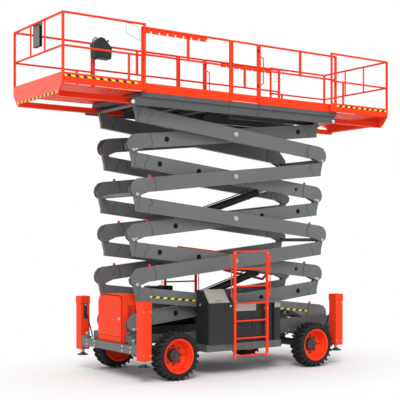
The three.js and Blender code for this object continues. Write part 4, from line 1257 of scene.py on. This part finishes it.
# ---------------------------------------------------------------- chassis fittings
for hand, side in SIDES:
    valve, hoses = Shape(), Shape()
    top_z = 0.926
    for i, x in enumerate((0.800, 0.880, 0.960, 1.040, 1.120)):
        valve.side_block(
            side, (x - 0.033, x + 0.033), (0.700, 0.770), (top_z, top_z + 0.085 + 0.012 * (i % 2))
        )
        valve.rod((x, 0.735 * side, top_z + 0.080), (x, 0.735 * side, top_z + 0.128), 0.015, 18, 1)
        valve.rod((x, 0.735 * side, top_z + 0.120), (x, 0.735 * side, top_z + 0.140), 0.010, 6, 1)
    valve.side_block(side, (0.755, 1.165), (0.694, 0.776), (top_z - 0.0005, top_z + 0.014))
    for k, (x0, x1, lift) in enumerate(
        (
            (0.78, 1.30, 0.10), (0.86, 1.38, 0.135), (0.94, 1.44, 0.09), (1.02, 1.50, 0.115),
            (0.70, 1.10, 0.15),
        )
    ):
        y = (0.715 + 0.012 * k) * side
        hoses.hose(
            [
                (x0, y, top_z + 0.070), (x0 + 0.02, y, top_z + 0.070 + lift * 0.6),
                (x0 + 0.12, y, top_z + 0.03 + lift), (x1 - 0.12, y, top_z + 0.01 + lift * 0.55),
                (x1, y, top_z + 0.012),
            ],
            0.011,
        )
    valve.make(hand + "_valve_block", "chassis", [DARK, ZINC], 0.0015)
    hoses.make(hand + "_valve_hoses", "chassis", HOSE)

    drive = Shape()
    for x in (-1.54, 1.49):
        drive.hose(
            [
                (x, 0.300 * side, 0.54), (x + 0.03, 0.420 * side, 0.600),
                (x + 0.02, 0.560 * side, 0.575), (x, 0.640 * side, 0.505),
            ],
            0.012,
        )
    drive.make(hand + "_axle_hoses", "chassis", HOSE)
    out, columns = (0, side, 0), (1.20, 1.35, 1.70, 1.85, 2.00, 2.15)
    places = heads((-2.00, -1.85, -1.70), side * 0.680, (0.665,), out, 0.9)
    places += heads(columns, side * 0.762, (0.690,), out, 0.9)
    bolts(hand + "_chassis_bolts", "chassis", places, ZINC)

# steering cylinder pair and tie rod behind the front axle ride with the chassis
steer = Shape()
axle_x = joint_at("front_far_wheel_spin").x
steer_x, steer_z = axle_x - 0.125, 0.420
for y0, y1, radius, sides, paint in (
    (-0.230, 0.230, 0.036, 28, 0), (-0.245, -0.225, 0.041, 28, 0), (0.225, 0.245, 0.041, 28, 0),
    (-0.560, 0.560, 0.017, 24, 1),
):
    steer.rod((steer_x, y0, steer_z), (steer_x, y1, steer_z), radius, sides, paint)
for y in (-0.150, 0.150):
    steer.block((axle_x - 0.130, y - 0.020, 0.400), (axle_x - 0.060, y + 0.020, 0.440))
steer.make("steering_cylinder", "chassis", [DARK, CHROME], 0.0015)

# ---------------------------------------------------------------- ladders
RUNG_X, RUNG_Y, RUNG_HALF = -0.017, 1.146, 0.320
RUNG_COUNT, FIRST_RUNG_Z, RUNG_PITCH = 7, 0.334, 0.312
for hand, side in SIDES:
    rows = (0.330, 1.170, 2.180)
    places = heads((-0.387, 0.353), side * 1.161, rows, (0, side, 0), 0.7)
    bolts(hand + "_ladder_bolts", "chassis", places, ZINC)
    grip = Shape()
    for i in range(RUNG_COUNT):
        z = FIRST_RUNG_Z + RUNG_PITCH * i
        for k in range(14):
            x = RUNG_X - RUNG_HALF + 2 * RUNG_HALF * k / 13
            grip.block(
                (x - 0.006, side * RUNG_Y - 0.009, z + 0.0125),
                (x + 0.006, side * RUNG_Y + 0.009, z + 0.0165),
            )
    grip.make(hand + "_rung_grips", "chassis", ORANGE)

# ---------------------------------------------------------------- platform
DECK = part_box("deck_floor")[1][2]
GATE_X0, GATE_X1 = -0.252, 0.372
CROSS_BEAM_X = (-1.5, -0.9, -0.3, 0.3, 0.9, 1.5)
TOE_TOP, END_TOE_TOP = DECK + 0.155, DECK + 0.1705
MAIN_X0, MAIN_X1 = (corner[0] + gap for corner, gap in zip(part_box("deck_floor"), (-0.004, 0.004)))
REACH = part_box("rear_extension_guardrail")[1][0]
for hand, side in SIDES:
    out = Vector((0, side, 0))
    shade_lines, rollers = Shape(), Shape()
    # near-black strips painted as the shade in the gaps either side of the gate
    for x in (GATE_X0 - 0.045, GATE_X1 + 0.005):
        shade_lines.side_block(
            side, (x - 0.004, x + 0.004), (0.8685, 0.866), (DECK - 0.0795, DECK - 0.0125)
        )
        shade_lines.side_block(
            side, (x - 0.004, x + 0.004), (0.8385, 0.836), (DECK - 0.2235, DECK - 0.0805)
        )
    shade_lines.make(hand + "_deck_side_seams", "platform", PAINTED_SHADE_AND_BLACK)
    places = heads(CROSS_BEAM_X, side * 0.838, (DECK - 0.105,), out, 0.55)
    bolts(hand + "_deck_side_bolts", "platform", places, GREY)
    z = DECK - 0.175
    for x in (MAIN_X0 - 0.150, MAIN_X1 - 0.060):
        rollers.turned(
            (x, side * 0.836, z), out,
            [(0.0, 0.034), (0.016, 0.034), (0.019, 0.031), (0.019, 0.014)], 32,
        )
        rollers.turned(
            (x, side * 0.853, z), out, [(0.0, 0.012), (0.009, 0.012), (0.011, 0.009)], 6, 1
        )
    rollers.make(hand + "_deck_rollers", "platform", [ROLLER, ZINC])

    # gate: hinge leaves, gap strip and latch
    hinge = Shape()
    for z in (DECK + 0.300, DECK + 0.950):
        hinge.rod(
            (GATE_X1 + 0.0035, 0.846 * side, z - 0.004),
            (GATE_X1 + 0.0035, 0.846 * side, z + 0.074), 0.012, 20,
        )
        hinge.side_block(
            side, (GATE_X1 - 0.026, GATE_X1 + 0.005), (0.8845, 0.8875), (z + 0.006, z + 0.064)
        )
    hinge.make(hand + "_gate_hinges", hand + "_gate_leaf", PAINTED_SHADE_AND_BLACK, 0.001)
    latch = Shape()
    latch.side_block(
        side, (GATE_X0 - 0.006, GATE_X0 + 0.034), (0.872, 0.892), (DECK + 0.640, DECK + 0.700)
    )
    latch.rod(
        (GATE_X0 + 0.014, 0.890 * side, DECK + 0.670),
        (GATE_X0 + 0.014, 0.905 * side, DECK + 0.670), 0.010, 18, 1,
    )
    latch.make(hand + "_gate_latch", hand + "_gate_leaf", [DARK, ZINC], 0.0015)

    # toe board trims: rolled top edge
    for x0, x1, body, piece in (
        (MAIN_X0 + 0.045, GATE_X0 - 0.048, "platform", "front"),
        (GATE_X1 + 0.048, MAIN_X1 - 0.045, "platform", "rear"),
    ):
        trim = Shape()
        trim.rod((x0, 0.866 * side, TOE_TOP), (x1, 0.866 * side, TOE_TOP), 0.0042, 12)
        trim.make(hand + "_" + piece + "_toe_board_edge", body, ORANGE)

# bracing under the deck
brace = Shape()
for x0, x1 in ((-1.47, -0.93), (-0.87, -0.33), (-0.27, 0.27), (0.33, 0.87), (0.93, 1.47)):
    for y in (-0.80, 0.80):
        z = DECK - 0.060 - (0.012 if y > 0 else 0.0)
        brace.rod((x0, y, z), (x1, -y, z), 0.009, 12)
brace.make("deck_cross_bracing", "platform", DARK)
ribs = Shape()
for x in [-1.68 + 0.12 * i for i in range(31)]:
    if min(abs(x - c) for c in CROSS_BEAM_X) > 0.045:
        ribs.block((x - 0.006, -0.792, DECK - 0.030), (x + 0.006, 0.792, DECK - 0.0125))
ribs.make("deck_floor_ribs", "platform", DARK)

# raised tread studs on the decks
STUD_PITCH, STUD_ROWS, FIRST_ROW_Y = 0.078, 22, -0.82


def tread_studs(name, body, columns, height):
    """Raised lozenges on a deck, each turned square to the ones beside it."""
    stud = Shape()
    stud.skin(
        [
            [(long, 0, z), (0, wide, z), (-long, 0, z), (0, -wide, z)]
            for long, wide, z in ((0.014, 0.0045, -0.0005), (0.010, 0.0028, 0.0018))
        ]
    )
    rows = [
        ((x, FIRST_ROW_Y + STUD_PITCH * j, height), (0, 0, 1), (0.7, 0.7 * (-1) ** (i + j), 0), 1.0)
        for i, x in columns
        for j in range(STUD_ROWS)
    ]
    set_on_points(name, body, stud, rows, FLOOR_COAT)


tread_studs(
    "deck_tread_studs", "platform", [(i, MAIN_X0 + 0.06 + STUD_PITCH * i) for i in range(57)], DECK
)

for end, turn in (("front", -1), ("rear", 1)):
    body = end + "_extension"
    columns = [(i, turn * (REACH - 0.10 - STUD_PITCH * i)) for i in range(20)]
    columns = [(i, x) for i, x in columns if abs(x) > abs(MAIN_X1) + 0.08]
    tread_studs(end + "_deck_tread_studs", body, columns, DECK + 0.012)

    plate = Shape()
    x0, x1 = sorted((turn * (REACH - 0.052), turn * (abs(MAIN_X1) + 0.02)))
    plate.block((x0, -0.834, DECK + 0.0121), (x1, 0.834, DECK + 0.0125))
    plate.make(end + "_deck_walk_coat", body, FLOOR_COAT)

    strips, edges, loops = Shape(), Shape(), Shape()
    for _, side in SIDES:
        a, b = (turn * (REACH - 0.030), turn * 2.42)
        start, stop = ((a, 0.9435 * side, DECK + 0.108), (turn * 2.28, 0.9435 * side, DECK + 0.108))
        strips.strip(start, stop, (0, 0, 1), 0.033, (0, 0.0012 * side, 0))
        edges.rod((a, 0.940 * side, END_TOE_TOP), (b, 0.940 * side, END_TOE_TOP), 0.0048, 12)
    # the wire loop of the deck lock: near side in front, far side behind
    loops.hose(
        [
            (turn * x, 0.945 * turn, z)
            for x, z in (
                (2.270, DECK + 1.075), (2.400, DECK + 1.108), (2.505, DECK + 1.104),
                (2.514, DECK + 1.060), (2.506, DECK + 0.975), (2.480, DECK + 0.940),
                (2.260, DECK + 0.855), (2.236, DECK + 0.870), (2.262, DECK + 1.060),
            )
        ],
        0.0045,
    )
    face = turn * REACH
    low_z = DECK - 0.150
    strips.strip(
        (face, -0.775, low_z + 0.006), (face, 0.775, low_z + 0.006), (0, 0, 1), 0.031,
        (0.0012 * turn, 0, 0),
    )
    edges.rod(
        (face - turn * 0.003, -0.940, END_TOE_TOP), (face - turn * 0.003, 0.940, END_TOE_TOP),
        0.0050, 12,
    )
    strips.make(end + "_deck_hazard_tape", body, TAPE)
    edges.make(end + "_toe_board_edges", body, ORANGE)
    loops.make(end + "_deck_lock_loop", body, ZINC)
    places = []
    for _, side in SIDES:
        for x in (2.60, 3.00, 3.40):
            places.append(((turn * x, 0.943 * side, DECK + 0.045), (0, side, 0), 0.6))
    bolts(end + "_deck_bolts", body, places, ORANGE)

# ---------------------------------------------------------------- platform controls and papers
control = Shape()
y_in, y_out, stick_y = 0.640, 0.815, 0.728
section = [
    (MAIN_X0 + x, DECK + z)
    for x, z in (
        (-0.070, 0.840), (-0.052, 0.828), (0.255, 0.822), (0.270, 0.832), (0.287, 1.025),
        (0.270, 1.052), (0.130, 1.190), (0.115, 1.200), (0.045, 1.208), (0.030, 1.200),
        (-0.080, 1.094), (-0.085, 1.080),
    )
]
control.plate([(x, y_in, z) for x, z in section], (0, y_out - y_in, 0), 0)
middle = (MAIN_X0 + 0.095, DECK + 1.02)
raised = [
    (middle[0] + (x - middle[0]) * 0.86, middle[1] + (z - middle[1]) * 0.86) for x, z in section
]
control.plate([(x, y_in - 0.004, z) for x, z in raised], (0, 0.0045, 0), 0)
control.plate([(x, y_out - 0.0005, z) for x, z in raised], (0, 0.0045, 0), 0)
control.block((MAIN_X0 + 0.045, 0.810, DECK + 1.070), (MAIN_X0 + 0.235, 0.8460, DECK + 1.104), 1)
for x, z, r, paint in (
    (MAIN_X0 + 0.150, DECK + 1.172, 0.012, 2), (MAIN_X0 + 0.240, DECK + 1.083, 0.010, 1)
):
    control.rod((x, 0.72, z - 0.004), (x + 0.018, 0.72, z + 0.018), r, 18, paint)
stick = Vector((MAIN_X0 + 0.198, stick_y, DECK + 1.126))
tilt = Vector((0.70, 0, 0.714))
control.rod(stick - tilt * 0.004, stick + tilt * 0.014, 0.024, 24)
control.rod(stick + tilt * 0.010, stick + tilt * 0.050, 0.008, 14)
control.turned(
    stick + tilt * 0.046, tilt, [(0, 0.010), (0.006, 0.017), (0.030, 0.018), (0.040, 0.012)], 20
)
control.hose(
    [
        (MAIN_X0 - 0.060, stick_y, DECK + 1.100), (MAIN_X0 - 0.075, stick_y, DECK + 1.150),
        (MAIN_X0 - 0.030, stick_y, DECK + 1.200), (MAIN_X0 + 0.020, stick_y, DECK + 1.204),
    ],
    0.009, 12,
)
control.rod(
    (MAIN_X0 - 0.010, stick_y, DECK + 0.800), (MAIN_X0 - 0.010, stick_y, DECK + 0.832), 0.016, 20
)
control.make(
    "platform_control_station", "platform", [PLASTIC, DARK, RED], 0.0035, replaces=("control_box",)
)

low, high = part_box("manual_box")
papers = Shape()
(x0, y0, z0), (x1, y1, z1) = low, high
papers.block((x0, y0, z0), (x1 - 0.004, y1, z1 - 0.040))
papers.block((x0 + 0.001, y0 - 0.002, z1 - 0.044), (x1, y1 + 0.002, z1))
papers.block((x0 + 0.004, y0 - 0.0025, z0 - 0.0020), (x1 - 0.006, y0 + 0.012, z1 - 0.060), 1)
papers.block((x0 + 0.004, y0, z0 - 0.0022), (x1 - 0.006, y1, z0 + 0.014), 1)
papers.block((x0 - 0.001, y0 + 0.016, z0 + 0.020), (x0 + 0.001, y1 - 0.012, z1 - 0.060))
papers.block(
    (x1 - 0.003, (y0 + y1) / 2 - 0.018, z1 - 0.052),
    (x1 + 0.003, (y0 + y1) / 2 + 0.018, z1 - 0.020), 1,
)
papers.make("papers_box", "front_extension", [GREY, PAINTED_SHADE_AND_BLACK], 0.003, replaces=("manual_box",))

# ---------------------------------------------------------------- floor, light, background
floor_mesh = bpy.data.meshes.new("floor")
floor_mesh.from_pydata([(-60, -60, 0), (60, -60, 0), (60, 60, 0), (-60, 60, 0)], [], [(0, 1, 2, 3)])
floor = bpy.data.objects.new("floor", floor_mesh)
scene.collection.objects.link(floor)
floor_paint = bpy.data.materials.new("pale_floor")
floor_paint.use_nodes = True
tree = floor_paint.node_tree
tree.nodes.clear()
matt = node(tree, "ShaderNodeBsdfDiffuse", {"Color": (0.97, 0.97, 0.97, 1.0)})
place = node(tree, "ShaderNodeTexCoord").outputs["Object"]
narrow = node(tree, "ShaderNodeMapping", {"Scale": (0.62, 1.0, 1.0), "Vector": place})
length = node(tree, "ShaderNodeVectorMath", {0: narrow.outputs["Vector"]}, operation="LENGTH")
far = spread(tree, length.outputs["Value"], 1.6, 3.5, 0.0, 1.0)
seen = node(tree, "ShaderNodeLightPath").outputs["Is Camera Ray"]
glow = node(tree, "ShaderNodeEmission")
share = sum_of(tree, "MULTIPLY", far, seen)
mix = node(tree, "ShaderNodeMixShader", {0: share, 1: matt.outputs[0], 2: glow.outputs[0]})
node(tree, "ShaderNodeOutputMaterial", {0: mix.outputs[0]})
floor_mesh.materials.append(floor_paint)

world = bpy.data.worlds.new("studio")
scene.world = world
world.use_nodes = True
tree = world.node_tree
path = node(tree, "ShaderNodeLightPath")
seen = sum_of(tree, "MAXIMUM", path.outputs["Is Camera Ray"], path.outputs["Is Glossy Ray"])
seen = sum_of(tree, "MAXIMUM", seen, path.outputs["Is Transmission Ray"])
level = spread(tree, seen, 0.0, 1.0, 0.68, 1.0)
feed(tree, tree.nodes["Background"], {"Color": (1.0, 1.0, 1.0, 1.0), "Strength": level})

sun_data = bpy.data.lights.new("key", "SUN")
sun_data.energy = 1.7
sun_data.angle = rad(25)
sun = bpy.data.objects.new("key", sun_data)
sun.rotation_euler = Vector((-0.45, -0.62, 0.64)).to_track_quat("Z", "Y").to_euler()
scene.collection.objects.link(sun)

scene.view_settings.view_transform = "Standard"
